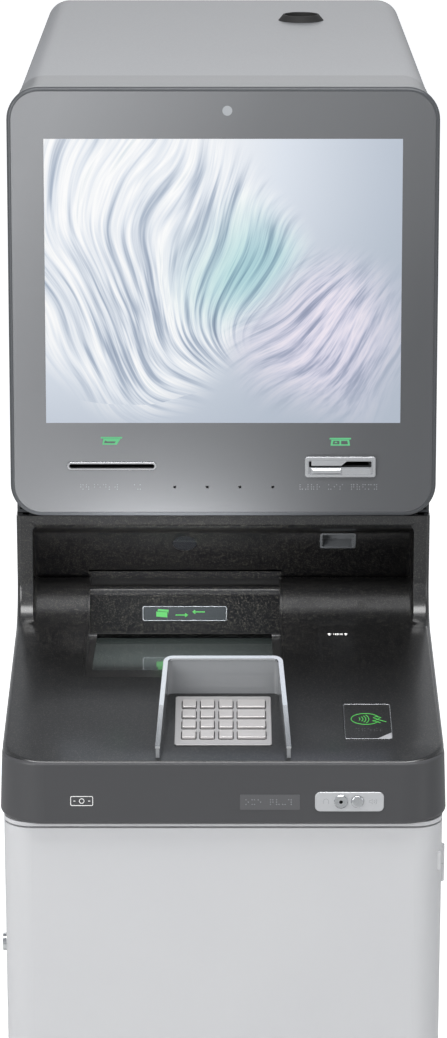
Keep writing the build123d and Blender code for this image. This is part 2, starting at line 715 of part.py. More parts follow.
def paper_roll():
    with BuildPart() as piece:
        with Locations(Location((RECEIPT_X, ROLL_Y, ROLL_Z), (0, 90, 0))):
            Cylinder(ROLL_D / 2, ROLL_W)
            Cylinder(SPINDLE_R + PIN_PLAY, ROLL_W + 2, mode=Mode.SUBTRACT)
    finish(piece, "paper_roll")


def card_bezel():
    """Bright frame round the card mouth, with a stepped lower lip."""
    with BuildPart() as piece:
        extrude(rounded(PANEL.offset(2), CARD_X, CARD_T, CARD_W, CARD_H, 2.8), amount=-12)
        chamfer(piece.faces().sort_by(Axis.Y)[0].edges(), 0.8)
        extrude(rounded(PANEL.offset(-GLASS_T), CARD_X, CARD_T, CARD_W + 8, CARD_H + 8, 4), amount=-3)
        extrude(rounded(PANEL.offset(3), CARD_X, CARD_T, CARD_W - 7, CARD_H - 7, 1.5), amount=-4.5,
                mode=Mode.SUBTRACT)
        extrude(rounded(PANEL.offset(-1.5), CARD_X + 17, CARD_T - 4.6, 31, 6.4, 1), amount=3)
        extrude(rounded(PANEL.offset(3), CARD_X, CARD_T + 2.5, *CARD_MOUTH, 1), amount=-20,
                mode=Mode.SUBTRACT)
    finish(piece, "card_bezel")


def card_reader():
    front = PANEL.offset(-10)
    with BuildPart() as piece:
        extrude(rounded(front, CARD_X, CARD_T + 2.5, 84, 36, 2), amount=-120)
        extrude(rounded(front.offset(1), CARD_X, CARD_T + 2.5, 62, 5, 1), amount=-90, mode=Mode.SUBTRACT)
    finish(piece, "card_reader")


# ---------------------------------------------------------------- console

def air_over_desk():
    """Section of the open space above the desk and in front of the cheeks."""
    with BuildSketch(Plane.YZ) as outline:
        with BuildLine():
            start = (DESK_FRONT - 60, desk_z(DESK_FRONT - 60))
            corner = (CHEEK_Y, desk_z(CHEEK_Y))
            FilletPolyline(start, corner, (CHEEK_Y, CONSOLE_TOP + 20), radius=CHEEK_SWEEP)
            Polyline((CHEEK_Y, CONSOLE_TOP + 20), (DESK_FRONT - 60, CONSOLE_TOP + 20), start)
        make_face()
    return outline.sketch


def recess_top(foot):
    """Section line over the roll: up the desk, over the crest and down to the crease."""
    return Spline(foot, *ROLL_RISE, CREST, ROLL_FALL, CREASE,
                  tangents=[(cos(radians(DESK_SLOPE)), sin(radians(DESK_SLOPE))), (1.0, -0.35)])


def air_in_recess():
    """Section of the open space between the cheeks, under the overhanging wall."""
    start = (RECESS_FRONT, desk_z(RECESS_FRONT))
    foot = (ROLL_FOOT_Y, desk_z(ROLL_FOOT_Y))
    with BuildSketch(Plane.YZ) as outline:
        with BuildLine():
            Line(start, foot)
            recess_top(foot)
            lip = FilletPolyline(CREASE, WALL_TOP, (CHEEK_Y, WALL_TOP[1] + 9), (CHEEK_Y, WALL_TOP[1] + 22),
                                 radius=(14.0, 8.0))
            Polyline((CHEEK_Y, WALL_TOP[1] + 22), (RECESS_FRONT, WALL_TOP[1] + 22), start)
        make_face()
    return outline.sketch


def recess_air():
    """The open space between the cheeks, with round corners where it meets them."""
    with BuildPart() as air:
        across(air_in_recess(), -CHEEK_IN, CHEEK_IN)
        ends = air.faces().filter_by(Axis.X)
        back = [e for e in ends.edges() if e.center().Y > CHEEK_Y + 0.1 or e.center().Z < CREST[1]]
        fillet([e for e in back if e.center().Y > ROLL_FOOT_Y], RECESS_R)
    return air.part


def console_hollow():
    """Section of the space inside the moulding, open to the rear and below."""
    drop = WALL / cos(radians(DESK_SLOPE))
    front = DESK_FRONT + WALL
    back = (WALL * cos(WALL_LEAN), WALL * sin(WALL_LEAN))
    return section([(front, SKIRT_BOTTOM - 5), (front, desk_z(front) - drop), *ROLL_INSIDE,
                    (CREASE[0] + back[0], CREASE[1] + back[1]),
                    (WALL_TOP[0] + back[0], WALL_TOP[1] + back[1]),
                    (CHEEK_Y + WALL, 986), (CHEEK_Y + WALL, CONSOLE_TOP + 5),
                    (CONSOLE_REAR + 5, CONSOLE_TOP + 5), (CONSOLE_REAR + 5, SKIRT_BOTTOM - 5)])


def cheek_hollow():
    """Section of the space inside the cheeks, outside the recess's end walls."""
    low = desk_z(SWEEP_MIDDLE[0]) - WALL / cos(radians(DESK_SLOPE))
    reach = CHEEK_SWEEP + WALL + 1
    foot = [(SWEEP_MIDDLE[0] + reach * sin(radians(turn)), SWEEP_MIDDLE[1] - reach * cos(radians(turn)))
            for turn in (15, 35, 55, 75, 90)]
    return section([(SWEEP_MIDDLE[0], low), *foot, (CHEEK_Y + WALL + 1, CONSOLE_TOP + 5),
                    (CONSOLE_REAR + 5, CONSOLE_TOP + 5), (CONSOLE_REAR + 5, low)])


def under_desk():
    """Section of the space below the desk, which runs the moulding's full width."""
    drop = WALL / cos(radians(DESK_SLOPE))
    front = DESK_FRONT + WALL
    back = SWEEP_MIDDLE[0]
    return section([(front, SKIRT_BOTTOM - 5), (front, desk_z(front) - drop), (back, desk_z(back) - drop),
                    (CONSOLE_REAR + 5, desk_z(back) - drop), (CONSOLE_REAR + 5, SKIRT_BOTTOM - 5)])


def console_shell():
    """Dark moulding: desk, cheeks, overhanging wall and the roll below it."""
    with BuildPart() as piece:
        extrude(plan(SIDE, DESK_FRONT, CONSOLE_REAR, PLAN_R).moved(Location((0, 0, SKIRT_BOTTOM))),
                amount=CONSOLE_TOP - SKIRT_BOTTOM)
        across(air_over_desk(), -SIDE - 5, SIDE + 5, mode=Mode.SUBTRACT)
        rim = [e for e in piece.edges()
               if e.center().Z > APRON_TOP - 3 and e.center().Z < CONSOLE_TOP - 1
               and e.center().Y < CHEEK_Y + 1
               and not (abs(e.center().X) < 1 and e.center().Y > DESK_FRONT + 1)]
        fillet(rim, EDGE_R)
        add(recess_air(), mode=Mode.SUBTRACT)
        skirt = APRON_HALF_TOP - APRON_WALL - FIT
        with BuildSketch(Plane.XY.offset(SKIRT_BOTTOM - 1)) as band:
            with Locations((0, (DESK_FRONT - 20 + CONSOLE_REAR + 1) / 2)):
                Rectangle(2 * SIDE + 20, CONSOLE_REAR + 21 - DESK_FRONT)
            add(plan(skirt, DESK_FRONT, 0, PLAN_R - SIDE + skirt), mode=Mode.SUBTRACT)
        extrude(amount=APRON_TOP + 0.3 - SKIRT_BOTTOM + 1, mode=Mode.SUBTRACT)
        across(console_hollow(), -CHEEK_IN + RECESS_R, CHEEK_IN - RECESS_R, mode=Mode.SUBTRACT)
        across(under_desk(), -skirt + WALL, skirt - WALL, mode=Mode.SUBTRACT)
        for side in (-1, 1):
            xs = sorted((side * (CHEEK_IN + WALL), side * (skirt - WALL)))
            across(cheek_hollow(), *xs, mode=Mode.SUBTRACT)
        block((CASH_LEFT, TRAY_FRONT_Y, 840), (CASH_RIGHT, CREASE[0] - 0.5, CREST[1] + 5), mode=Mode.SUBTRACT)
        extrude(rounded(DESK.offset(10), 0, (PAD_LOW + PAD_HIGH) / 2, PAD_W - 4 + 2 * FIT,
                        PAD_HIGH - PAD_LOW - 4 + 2 * FIT, 2), amount=-30, mode=Mode.SUBTRACT)
        extrude(rounded(DESK.offset(10), (TAP_LEFT + TAP_RIGHT) / 2, (TAP_LOW + TAP_HIGH) / 2,
                        TAP_RIGHT - TAP_LEFT + 2 * FIT, TAP_HIGH - TAP_LOW + 2 * FIT, 3), amount=-30,
                mode=Mode.SUBTRACT)
        extrude(disc(OVERHANG.offset(10), EYE_X, EYE_S, EYE_D / 2 + FIT), amount=-20, mode=Mode.SUBTRACT)
        extrude(rounded(OVERHANG.offset(10), SCAN_X, SCAN_S, SCAN_W + 2 * FIT, SCAN_H + 2 * FIT, 3),
                amount=-20, mode=Mode.SUBTRACT)
    finish(piece, "console_shell")


def apron():
    """Drafted band round the console's foot."""
    height = APRON_TOP - APRON_BOTTOM
    bottom_half = APRON_HALF_TOP + APRON_TOP_Y - APRON_BOTTOM_Y
    skirt = APRON_HALF_TOP - APRON_WALL
    with BuildPart() as piece:
        extrude(plan(bottom_half, APRON_BOTTOM_Y, APRON_REAR + 40, PLAN_R + 3).moved(
            Location((0, 0, APRON_BOTTOM))), amount=height, taper=degrees(APRON_LEAN))
        outer = [e for e in piece.edges().filter_by(lambda e: abs(e.center().Z - APRON_TOP) < 0.1)
                 if e.center().Y < APRON_REAR]
        fillet(outer, 2.5)
        lower = [e for e in piece.edges().filter_by(lambda e: abs(e.center().Z - APRON_BOTTOM) < 0.1)
                 if e.center().Y < APRON_REAR]
        fillet(lower, 5)
        extrude(plan(skirt, DESK_FRONT, 40, PLAN_R - SIDE + skirt).moved(Location((0, 0, APRON_BOTTOM - 1))),
                amount=height + 2, mode=Mode.SUBTRACT)
        block((-300, APRON_REAR, APRON_BOTTOM - 5), (300, 0, APRON_TOP + 5), mode=Mode.SUBTRACT)
        extrude(rounded(APRON_FACE.offset(5), (PLATE_LEFT + PLATE_RIGHT) / 2, (PLATE_TOP + PLATE_BOTTOM) / 2,
                        PLATE_RIGHT - PLATE_LEFT + 2 * FIT, PLATE_TOP - PLATE_BOTTOM + 2 * FIT, 5.5 + FIT),
                amount=-5 - 2, mode=Mode.SUBTRACT)
        for x, r in ((JACK_X, 4 + FIT), (BUTTON_X, BUTTON_D / 2 + 2 * FIT)):
            extrude(disc(APRON_FACE.offset(5), x, SOUND_T, r), amount=-30, mode=Mode.SUBTRACT)
    finish(piece, "apron")


def jack_plate():
    with BuildPart() as piece:
        extrude(rounded(APRON_FACE.offset(1), (PLATE_LEFT + PLATE_RIGHT) / 2, (PLATE_TOP + PLATE_BOTTOM) / 2,
                        PLATE_RIGHT - PLATE_LEFT, PLATE_TOP - PLATE_BOTTOM, 5.5), amount=-3)
        chamfer(piece.faces().sort_by(Axis.Y)[0].edges(), 0.5)
        for x, r in ((JACK_X, 4 + FIT), (BUTTON_X, BUTTON_D / 2 + FIT)):
            extrude(disc(APRON_FACE.offset(5), x, SOUND_T, r), amount=-30, mode=Mode.SUBTRACT)
    finish(piece, "jack_plate")


def headphone_jack():
    with BuildPart() as piece:
        extrude(disc(APRON_FACE.offset(3), JACK_X, SOUND_T, 7), amount=-2)
        chamfer(piece.faces().sort_by(Axis.Y)[0].edges(), 0.8)
        extrude(disc(APRON_FACE.offset(3), JACK_X, SOUND_T, 4), amount=-17)
        extrude(disc(APRON_FACE.offset(4), JACK_X, SOUND_T, JACK_HOLE / 2), amount=-30, mode=Mode.SUBTRACT)
    finish(piece, "headphone_jack")


def volume_button():
    dome = 1.6
    with BuildPart() as piece:
        extrude(disc(APRON_FACE.offset(3), BUTTON_X, SOUND_T, BUTTON_D / 2), amount=-12)
        fillet(piece.faces().sort_by(Axis.Y)[0].edges(), dome)
    finish(piece, "volume_button")


def cash_bezel():
    """Liner of the cash pocket: side walls, frame round the shutter and the label panel."""
    seat = CREASE[0] - 0.7
    thick = 3.0
    with BuildPart() as piece:
        with BuildSketch(Plane.YZ, mode=Mode.PRIVATE) as core:
            with BuildLine():
                FilletPolyline((TRAY_FRONT_Y + FIT, TRAY_FRONT_Z), (TRAY_REAR_Y, TRAY_REAR_Z),
                               (TRAY_REAR_Y, LABEL_TOP_Z + 3), (seat, CREASE[1] - 1), radius=(4, 9))
                Polyline((seat, CREASE[1] - 1), (seat, TRAY_REAR_Z + 4),
                         (TRAY_REAR_Y + thick, TRAY_REAR_Z + 2),
                         (TRAY_REAR_Y + thick, TRAY_REAR_Z - 3), (TRAY_FRONT_Y + FIT, TRAY_FRONT_Z - 6),
                         (TRAY_FRONT_Y + FIT, TRAY_FRONT_Z))
            make_face()
        across(core.sketch, CASH_LEFT + FIT, CASH_RIGHT - FIT)
    with BuildPart() as liner:
        with BuildSketch(Plane.YZ, mode=Mode.PRIVATE) as edge:
            with BuildLine():
                foot = (ROLL_FOOT_Y, desk_z(ROLL_FOOT_Y))
                Line((TRAY_FRONT_Y + FIT, TRAY_FRONT_Z), foot)
                recess_top(foot)
                Polyline(CREASE, (CREASE[0], TRAY_REAR_Z), (TRAY_REAR_Y, TRAY_REAR_Z),
                         (TRAY_FRONT_Y + FIT, TRAY_FRONT_Z))
            make_face()
        for left, right in ((CASH_LEFT + FIT, CASH_LEFT + thick), (CASH_RIGHT - thick, CASH_RIGHT - FIT)):
            across(edge.sketch, left, right)
        add(piece.part)
        block((-300, seat, 800), (300, 0, 950), mode=Mode.SUBTRACT)
        middle = (SHUTTER_LEFT + SHUTTER_RIGHT) / 2
        width = SHUTTER_RIGHT - SHUTTER_LEFT
        low, high = tray_s(SHUTTER_FRONT_Y), tray_s(TRAY_REAR_Y + 40)
        with BuildSketch(TRAY.offset(3)):
            with Locations((middle, (low + high) / 2)):
                Rectangle(width, high - low)
        extrude(amount=-20, mode=Mode.SUBTRACT)
        with BuildSketch(TRAY.offset(-SHUTTER_SINK + 0.3)):
            with Locations(((CASH_LEFT + CASH_RIGHT) / 2, (low - SHUTTER_LAP - 4 + high) / 2)):
                Rectangle(CASH_RIGHT - CASH_LEFT - 2 * thick, high - low + SHUTTER_LAP + 4)
        extrude(amount=-20, mode=Mode.SUBTRACT)
    finish(liner, "cash_bezel")


def cash_shutter():
    """Sliding lid of the cash pocket; it runs back under the label panel."""
    middle = (SHUTTER_LEFT + SHUTTER_RIGHT) / 2
    low, high = tray_s(SHUTTER_FRONT_Y) - SHUTTER_LAP, tray_s(TRAY_REAR_Y + 2)
    with BuildPart() as piece:
        with BuildSketch(TRAY.offset(-SHUTTER_SINK)):
            with Locations((middle, (low + high) / 2)):
                Rectangle(SHUTTER_RIGHT - SHUTTER_LEFT + 2 * SHUTTER_LAP, high - low)
        extrude(amount=-SHUTTER_T)
    finish(piece, "cash_shutter")


def cash_module():
    """Note handling unit: the pocket under the shutter, its runners and the chute to the safe."""
    top = -SHUTTER_SINK - SHUTTER_T - 0.3
    middle = (SHUTTER_LEFT + SHUTTER_RIGHT) / 2
    width = SHUTTER_RIGHT - SHUTTER_LEFT + 2 * SHUTTER_LAP
    low, high = tray_s(SHUTTER_FRONT_Y) - 6, tray_s(-60)
    pocket_high = tray_s(TRAY_REAR_Y - 3)
    with BuildPart() as piece:
        with BuildSketch(TRAY.offset(top)):
            with Locations((middle, (low + high) / 2)):
                Rectangle(width, high - low)
        extrude(amount=-48)
        with BuildSketch(TRAY.offset(top + 1)):
            with Locations((middle, (low + 8 + pocket_high) / 2)):
                Rectangle(width - 10, pocket_high - low - 8)
        extrude(amount=-39, mode=Mode.SUBTRACT)
        for side in (-1, 1):
            with BuildSketch(TRAY.offset(top)):
                with Locations((middle + side * (width / 2 + 1.4), (low + high) / 2)):
                    Rectangle(2, high - low)
            extrude(amount=SHUTTER_T)
            with BuildSketch(TRAY.offset(top)):
                with Locations((middle + side * (width / 2 + 0.2), (low + high) / 2)):
                    Rectangle(4.4, high - low)
            extrude(amount=-4)
        block((-95, -255, SAFE_TOP - SAFE_WALL), (15, -195, 812))
    finish(piece, "cash_module")


def label_window():
    with BuildPart() as piece:
        block((-88, TRAY_REAR_Y - 0.6, 869.5), (4, TRAY_REAR_Y, 886.5))
        fillet(piece.edges().filter_by(Axis.Y), 2)
    finish(piece, "label_window")


def camera_window():
    with BuildPart() as piece:
        extrude(disc(OVERHANG.offset(-0.8), EYE_X, EYE_S, EYE_D / 2), amount=-3)
        extrude(disc(OVERHANG.offset(-3.8), EYE_X, EYE_S, EYE_D / 2 + 3), amount=-3)
    finish(piece, "camera_window")


def scanner_bezel():
    """Recessed scanner mouth with a window at the bottom of it."""
    with BuildPart() as piece:
        extrude(rounded(OVERHANG, SCAN_X, SCAN_S, SCAN_W, SCAN_H, 3), amount=-16)
        extrude(rounded(OVERHANG.offset(-WALL - 0.2), SCAN_X, SCAN_S, SCAN_W + 6, SCAN_H + 6, 3), amount=-4)
        extrude(rounded(OVERHANG.offset(1), SCAN_X, SCAN_S, SCAN_W - 5, SCAN_H - 5, 2), amount=-12,
                mode=Mode.SUBTRACT)
    finish(piece, "scanner_bezel")


# ---------------------------------------------------------------- key pad, shield and reader

def pinpad_body():
    middle = (PAD_LOW + PAD_HIGH) / 2
    length = PAD_HIGH - PAD_LOW
    with BuildPart() as piece:
        extrude(rounded(DESK.offset(PAD_PROUD), 0, middle, PAD_W, length, 3), amount=-PAD_PROUD)
        chamfer(piece.faces().sort_by(Axis.Z)[-1].edges(), 0.6)
        extrude(rounded(DESK, 0, middle, PAD_W - 4, length - 4, 2), amount=-PAD_DEPTH)
        for row in range(4):
            for x, width in zip(KEY_COLUMNS, KEY_WIDTHS):
                extrude(rounded(DESK.offset(PAD_PROUD + 1), x, KEY_LOW_ROW + row * KEY_PITCH,
                                width + 2 * KEY_GAP, KEY_H + 2 * KEY_GAP, 1.6), amount=-9, mode=Mode.SUBTRACT)
    finish(piece, "pinpad_body")


def keys():
    """Sixteen metal keys, one node each because each one travels."""
    top = PAD_PROUD + KEY_PROUD
    for row, names in enumerate(KEY_NAMES):
        for x, width, name in zip(KEY_COLUMNS, KEY_WIDTHS, names):
            with BuildPart() as piece:
                extrude(rounded(DESK.offset(top), x, KEY_LOW_ROW + row * KEY_PITCH, width, KEY_H, 1.5),
                        amount=-top - 4)
                fillet(piece.faces().sort_by(Axis.Z)[-1].edges(), 0.8)
            finish(piece, f"key_{name}")


def shield_plan(spread):
    """U-shaped plan of the shield, its wall thickened by spread on both sides."""
    with BuildSketch(Plane.XY.offset(DESK_Z - 10)) as outline:
        for grow, corner, mode in ((spread, SHIELD_R + spread, Mode.ADD),
                                   (-SHIELD_WALL - spread, SHIELD_R - SHIELD_WALL - spread, Mode.SUBTRACT)):
            back = SHIELD_BACK_HALF + grow
            y_back = SHIELD_BACK_Y + grow
            y_front = SHIELD_FRONT_Y if mode == Mode.ADD else SHIELD_FRONT_Y - 10
            slope = (SHIELD_FRONT_HALF - SHIELD_BACK_HALF) / (SHIELD_BACK_Y - SHIELD_FRONT_Y)
            nose = back + slope * (y_back - y_front)
            with BuildSketch(mode=Mode.PRIVATE) as shape:
                with BuildLine():
                    Polyline((-nose, y_front), (-back, y_back), (back, y_back), (nose, y_front), close=True)
                make_face()
                fillet(shape.vertices().group_by(Axis.Y)[-1], corner)
            add(shape.sketch, mode=mode)
    return outline.sketch


def rim_line(lift):
    """Points of the shield's sloping rim, raised by lift."""
    return [(SHIELD_FRONT_Y - 5, SHIELD_FRONT_Z - 2 + lift), (SHIELD_KINK[0], SHIELD_KINK[1] + lift),
            (SHIELD_BACK_Y + 5, SHIELD_BACK_Z + 1.7 + lift)]


def pin_shield():
    top = rim_line(0)
    with BuildPart() as piece:
        extrude(shield_plan(0), amount=90)
        across(section([*top, (top[-1][0], 980), (top[0][0], 980)]), -100, 100, mode=Mode.SUBTRACT)
        low = [(y, desk_z(y)) for y in (SHIELD_FRONT_Y - 10, SHIELD_BACK_Y + 10)]
        across(section([*low, (low[1][0], 780), (low[0][0], 780)]), -100, 100, mode=Mode.SUBTRACT)
    finish(piece, "pin_shield")


def shield_trim():
    low, high = rim_line(0), rim_line(TRIM_H)
    with BuildPart() as piece:
        extrude(shield_plan(TRIM_OVER), amount=90)
        across(section([*low, *reversed(high)]), -100, 100, mode=Mode.INTERSECT)
    finish(piece, "shield_trim")


def contactless_reader():
    x, y = (TAP_LEFT + TAP_RIGHT) / 2, (TAP_LOW + TAP_HIGH) / 2
    width, length = TAP_RIGHT - TAP_LEFT, TAP_HIGH - TAP_LOW
    with BuildPart() as piece:
        extrude(rounded(DESK.offset(0.6), x, y, width, length, 3), amount=-14)
        chamfer(piece.faces().sort_by(Axis.Z)[-1].edges(), 0.4)
        extrude(rounded(DESK.offset(-WALL - 0.3), x, y, width + 8, length + 8, 3), amount=-6)
    finish(piece, "contactless_reader")


def control_pc():
    floor = DECK_Z + DECK_T
    with BuildPart() as piece:
        block((-170, 60, floor), (170, 360, floor + 95))
        for row in range(10):
            block((-172, 90 + 26 * row, floor + 20), (-168, 104 + 26 * row, floor + 75), mode=Mode.SUBTRACT)
        block((-120, 60 - 3, floor + 20), (-20, 61, floor + 60))
    finish(piece, "control_pc")


base_frame()
cabinet_sides()
cabinet_deck()
door_hinges()
front_door()
door_lock()
safe_body()
rear_hinges("safe_hinges", SAFE_HINGE, SAFE_HINGE_R, SAFE_PIN_R, SAFE_HINGE_ZS, SAFE_HINGE_LEN,
            (SAFE_HALF - SAFE_WALL, SAFE_REAR, SAFE_HALF))
safe_door()
safe_handle()
safe_bolt_bar()
lock_dial()
cash_cassettes()
top_hood()
rear_hinges("service_hinges", SERVICE_HINGE, SERVICE_HINGE_R, SERVICE_PIN_R, SERVICE_HINGE_ZS,
            SERVICE_HINGE_LEN, (SERVICE_HALF + SERVICE_GAP + 2, REAR, SERVICE_HALF + SERVICE_GAP + 22))
cable_grommet()
service_door()
service_lock()
display_bezel()
front_glass()
lcd_module()
webcam()
display_collar()
receipt_bezel()
receipt_printer()
paper_roll()
card_bezel()
card_reader()
console_shell()
apron()
jack_plate()
headphone_jack()
volume_button()
cash_bezel()
cash_shutter()
cash_module()
label_window()
camera_window()
scanner_bezel()
pinpad_body()
keys()
pin_shield()
shield_trim()
contactless_reader()
control_pc()
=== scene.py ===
# %% [markdown]
# # A lobby cash machine
# This lesson dresses a finished CAD model. The steel, the mouldings and the joints are already in
# the frame, so each step here either gives a node the finish of its real material or adds a fine
# part that a CAD model leaves out: printed symbols, raised dots, soft edges and the display's picture.

# %% Load the frame
import math
import random

import bmesh
import bpy
from mathutils import Matrix, Vector


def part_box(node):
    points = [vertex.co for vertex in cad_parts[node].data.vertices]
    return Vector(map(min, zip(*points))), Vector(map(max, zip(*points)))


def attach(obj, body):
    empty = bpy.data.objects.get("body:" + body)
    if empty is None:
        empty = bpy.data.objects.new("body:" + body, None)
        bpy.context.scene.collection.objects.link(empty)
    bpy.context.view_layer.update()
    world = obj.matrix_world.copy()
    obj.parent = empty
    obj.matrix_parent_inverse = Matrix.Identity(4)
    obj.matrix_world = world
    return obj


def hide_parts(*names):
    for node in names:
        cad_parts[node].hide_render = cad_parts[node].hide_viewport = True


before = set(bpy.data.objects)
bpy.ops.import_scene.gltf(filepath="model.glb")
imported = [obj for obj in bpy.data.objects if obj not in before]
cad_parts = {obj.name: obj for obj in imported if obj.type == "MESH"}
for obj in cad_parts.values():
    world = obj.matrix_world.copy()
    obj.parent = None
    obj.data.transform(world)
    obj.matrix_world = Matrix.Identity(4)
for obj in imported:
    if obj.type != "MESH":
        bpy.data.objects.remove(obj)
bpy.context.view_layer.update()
MM = 0.001

# %% [markdown]
# ## Where the camera stands
# The camera comes first, so that every later choice can be judged from it. It stands 3.75 m in front
# of the cabinet's middle and a little under 2 m up, and looks down, as a person does who walks up to
# the machine. A long lens keeps the sides nearly parallel.

# %% Camera
CAMERA_AT = (0.0003, -3.753, 1.9855)
LOOK_DOWN = 15.75  # degrees
LENS = 118.16  # mm, on a 36 mm high sensor

lens = bpy.data.cameras.new("camera")
lens.lens = LENS
camera = bpy.data.objects.new("camera", lens)
camera.location = CAMERA_AT
camera.rotation_euler = (math.radians(90 - LOOK_DOWN), 0, 0)
bpy.context.scene.collection.objects.link(camera)
bpy.context.scene.camera = camera
print("camera looks down", LOOK_DOWN)

# %% [markdown]
# ## Studio lights
# One wide soft key comes from the left front and a weaker light fills the right. A long strip overhead
# draws the highlight along the console's roll, and a small lamp brightens the wall inside the recess.
# That lamp is hidden from the camera and from mirrors, because it would show in the display's glass.

# %% Studio lights
def area_light(name, place, aim, size, power):
    light = bpy.data.lights.new(name, "AREA")
    light.shape = "RECTANGLE"
    light.size, light.size_y = size
    light.energy = power
    lamp = bpy.data.objects.new(name, light)
    lamp.location = place
    lamp.rotation_euler = (Vector(aim) - Vector(place)).to_track_quat("-Z", "Y").to_euler()
    bpy.context.scene.collection.objects.link(lamp)
    return lamp


area_light("key_left", (-2.4, -3.0, 2.2), (0, -0.2, 1.0), (1.8, 2.4), 60)
area_light("fill_right", (2.8, -2.2, 1.4), (0, -0.2, 1.0), (1.0, 2.4), 12)
area_light("back_edge", (0.4, 3.2, 2.6), (0, 0, 1.2), (2.4, 1.6), 12)
area_light("ceiling", (0.0, -0.95, 2.9), (0, -0.4, 1.0), (2.4, 0.7), 38)
glow = area_light("recess_glow", (-0.06, -0.34, 0.925), (-0.06, -0.19, 0.94), (0.18, 0.02), 1.1)
glow.visible_camera = False
glow.visible_glossy = False

# %% [markdown]
# ## Tools for materials
# Colours are written as the hex values a designer would read off a colour card. Shaders want linear
# light, so one function converts them. One small function adds a node, sets it and wires it.

# %% Material helpers


def linear(code, alpha=1.0):
    """An sRGB hex colour as linear RGBA."""
    parts = [int(code[i:i + 2], 16) / 255 for i in (1, 3, 5)]
    return tuple(c / 12.92 if c <= 0.04045 else ((c + 0.055) / 1.055) ** 2.4 for c in parts) + (alpha,)


def add_node(tree, kind, inputs=None, **settings):
    """Add one node; inputs maps sockets to values or to the sockets that feed them."""
    made = tree.nodes.new(kind)
    for name, value in settings.items():
        setattr(made, name, value)
    for key, value in (inputs or {}).items():
        if isinstance(value, bpy.types.NodeSocket):
            tree.links.new(value, made.inputs[key])
        else:
            made.inputs[key].default_value = value
    return made


def start_material(name, base, **sockets):
    """A material with one Principled shader; sockets are its settings."""
    material = bpy.data.materials.new(name)
    material.use_nodes = True
    tree = material.node_tree
    shader = tree.nodes["Principled BSDF"]
    shader.inputs["Base Color"].default_value = linear(base)
    for key, value in sockets.items():
        shader.inputs[key.replace("_", " ")].default_value = value
    return material, tree, shader


def object_noise(tree, size, detail=2.0, stretch=(1, 1, 1)):
    """Noise whose blobs are about size metres across, fixed to the object."""
    place = add_node(tree, "ShaderNodeTexCoord")
    mapped = add_node(tree, "ShaderNodeMapping", {"Vector": place.outputs["Object"], "Scale": stretch})
    return add_node(tree, "ShaderNodeTexNoise", {"Vector": mapped.outputs["Vector"], "Scale": 1 / size,
                                                 "Detail": detail})


def bump_from(tree, shader, height, strength, distance):
    """Raise the surface's shading by height; distance is the real depth in metres."""
    bump = add_node(tree, "ShaderNodeBump", {"Height": height, "Strength": strength, "Distance": distance})
    tree.links.new(bump.outputs["Normal"], shader.inputs["Normal"])


def vary(tree, shader, socket, factor, low, high):
    """Drive one shader number between low and high."""
    spread = add_node(tree, "ShaderNodeMapRange", {"Value": factor, "To Min": low, "To Max": high})
    tree.links.new(spread.outputs["Result"], shader.inputs[socket])


def tint(tree, shader, factor, first, second):
    """Drive the base colour between two hex colours."""
    tree.links.new(mix_colour(tree, factor, linear(first), linear(second)), shader.inputs["Base Color"])


def ramp(tree, factor, stops):
    """Colours along a factor; stops are (position, hex colour)."""
    made = add_node(tree, "ShaderNodeValToRGB", {"Fac": factor})
    points = made.color_ramp.elements
    while len(points) < len(stops):
        points.new(0.5)
    for point, (position, code) in zip(points, stops):
        point.position = position
        point.color = linear(code)
    return made.outputs["Color"]


def mix_colour(tree, factor, first, second, blend="MIX"):
    """Mix two linear colours or colour sockets."""
    made = add_node(tree, "ShaderNodeMix", {"Factor": factor}, data_type="RGBA", blend_type=blend)
    for socket, value in ((made.inputs[6], first), (made.inputs[7], second)):
        if isinstance(value, bpy.types.NodeSocket):
            tree.links.new(value, socket)
        else:
            socket.default_value = value
    return made.outputs[2]


# %% [markdown]
# ## White sky and pale floor
# The sky is bright around and below the machine and dim overhead, because a dim ceiling keeps the
# near-black desk black while the upright faces stay light. A flat pale floor bounces light up. A ray
# that goes straight to the camera sees plain white sky and a lifted floor, so the machine stands
# clear, while shading and reflections still see the real colours.

# %% The white sky and the floor
SKY_TOP = "#7A7D82"
SKY_SIDE = "#C6C8CB"
SKY_FLOOR = "#E6E7E8"
SKY_STRENGTH = 1.12
FLOOR_HALF = 40.0  # metres
FLOOR_LIFT = 0.75


def white_sky():
    sky = bpy.data.worlds.new("white_sky")
    sky.use_nodes = True
    tree = sky.node_tree
    place = add_node(tree, "ShaderNodeTexCoord")
    height = add_node(tree, "ShaderNodeSeparateXYZ", {"Vector": place.outputs["Generated"]}).outputs["Z"]
    level = add_node(tree, "ShaderNodeMapRange", {"Value": height, "From Min": -1.0, "From Max": 1.0})
    stops = [(0.0, SKY_FLOOR), (0.42, SKY_FLOOR), (0.56, SKY_SIDE), (1.0, SKY_TOP)]
    colour = ramp(tree, level.outputs["Result"], stops)
    seen = add_node(tree, "ShaderNodeLightPath").outputs["Is Camera Ray"]
    shown = mix_colour(tree, seen, colour, linear("#FFFFFF"))
    tree.links.new(shown, tree.nodes["Background"].inputs["Color"])
    tree.nodes["Background"].inputs["Strength"].default_value = SKY_STRENGTH
    bpy.context.scene.world = sky
    bpy.context.scene.view_settings.view_transform = "Standard"


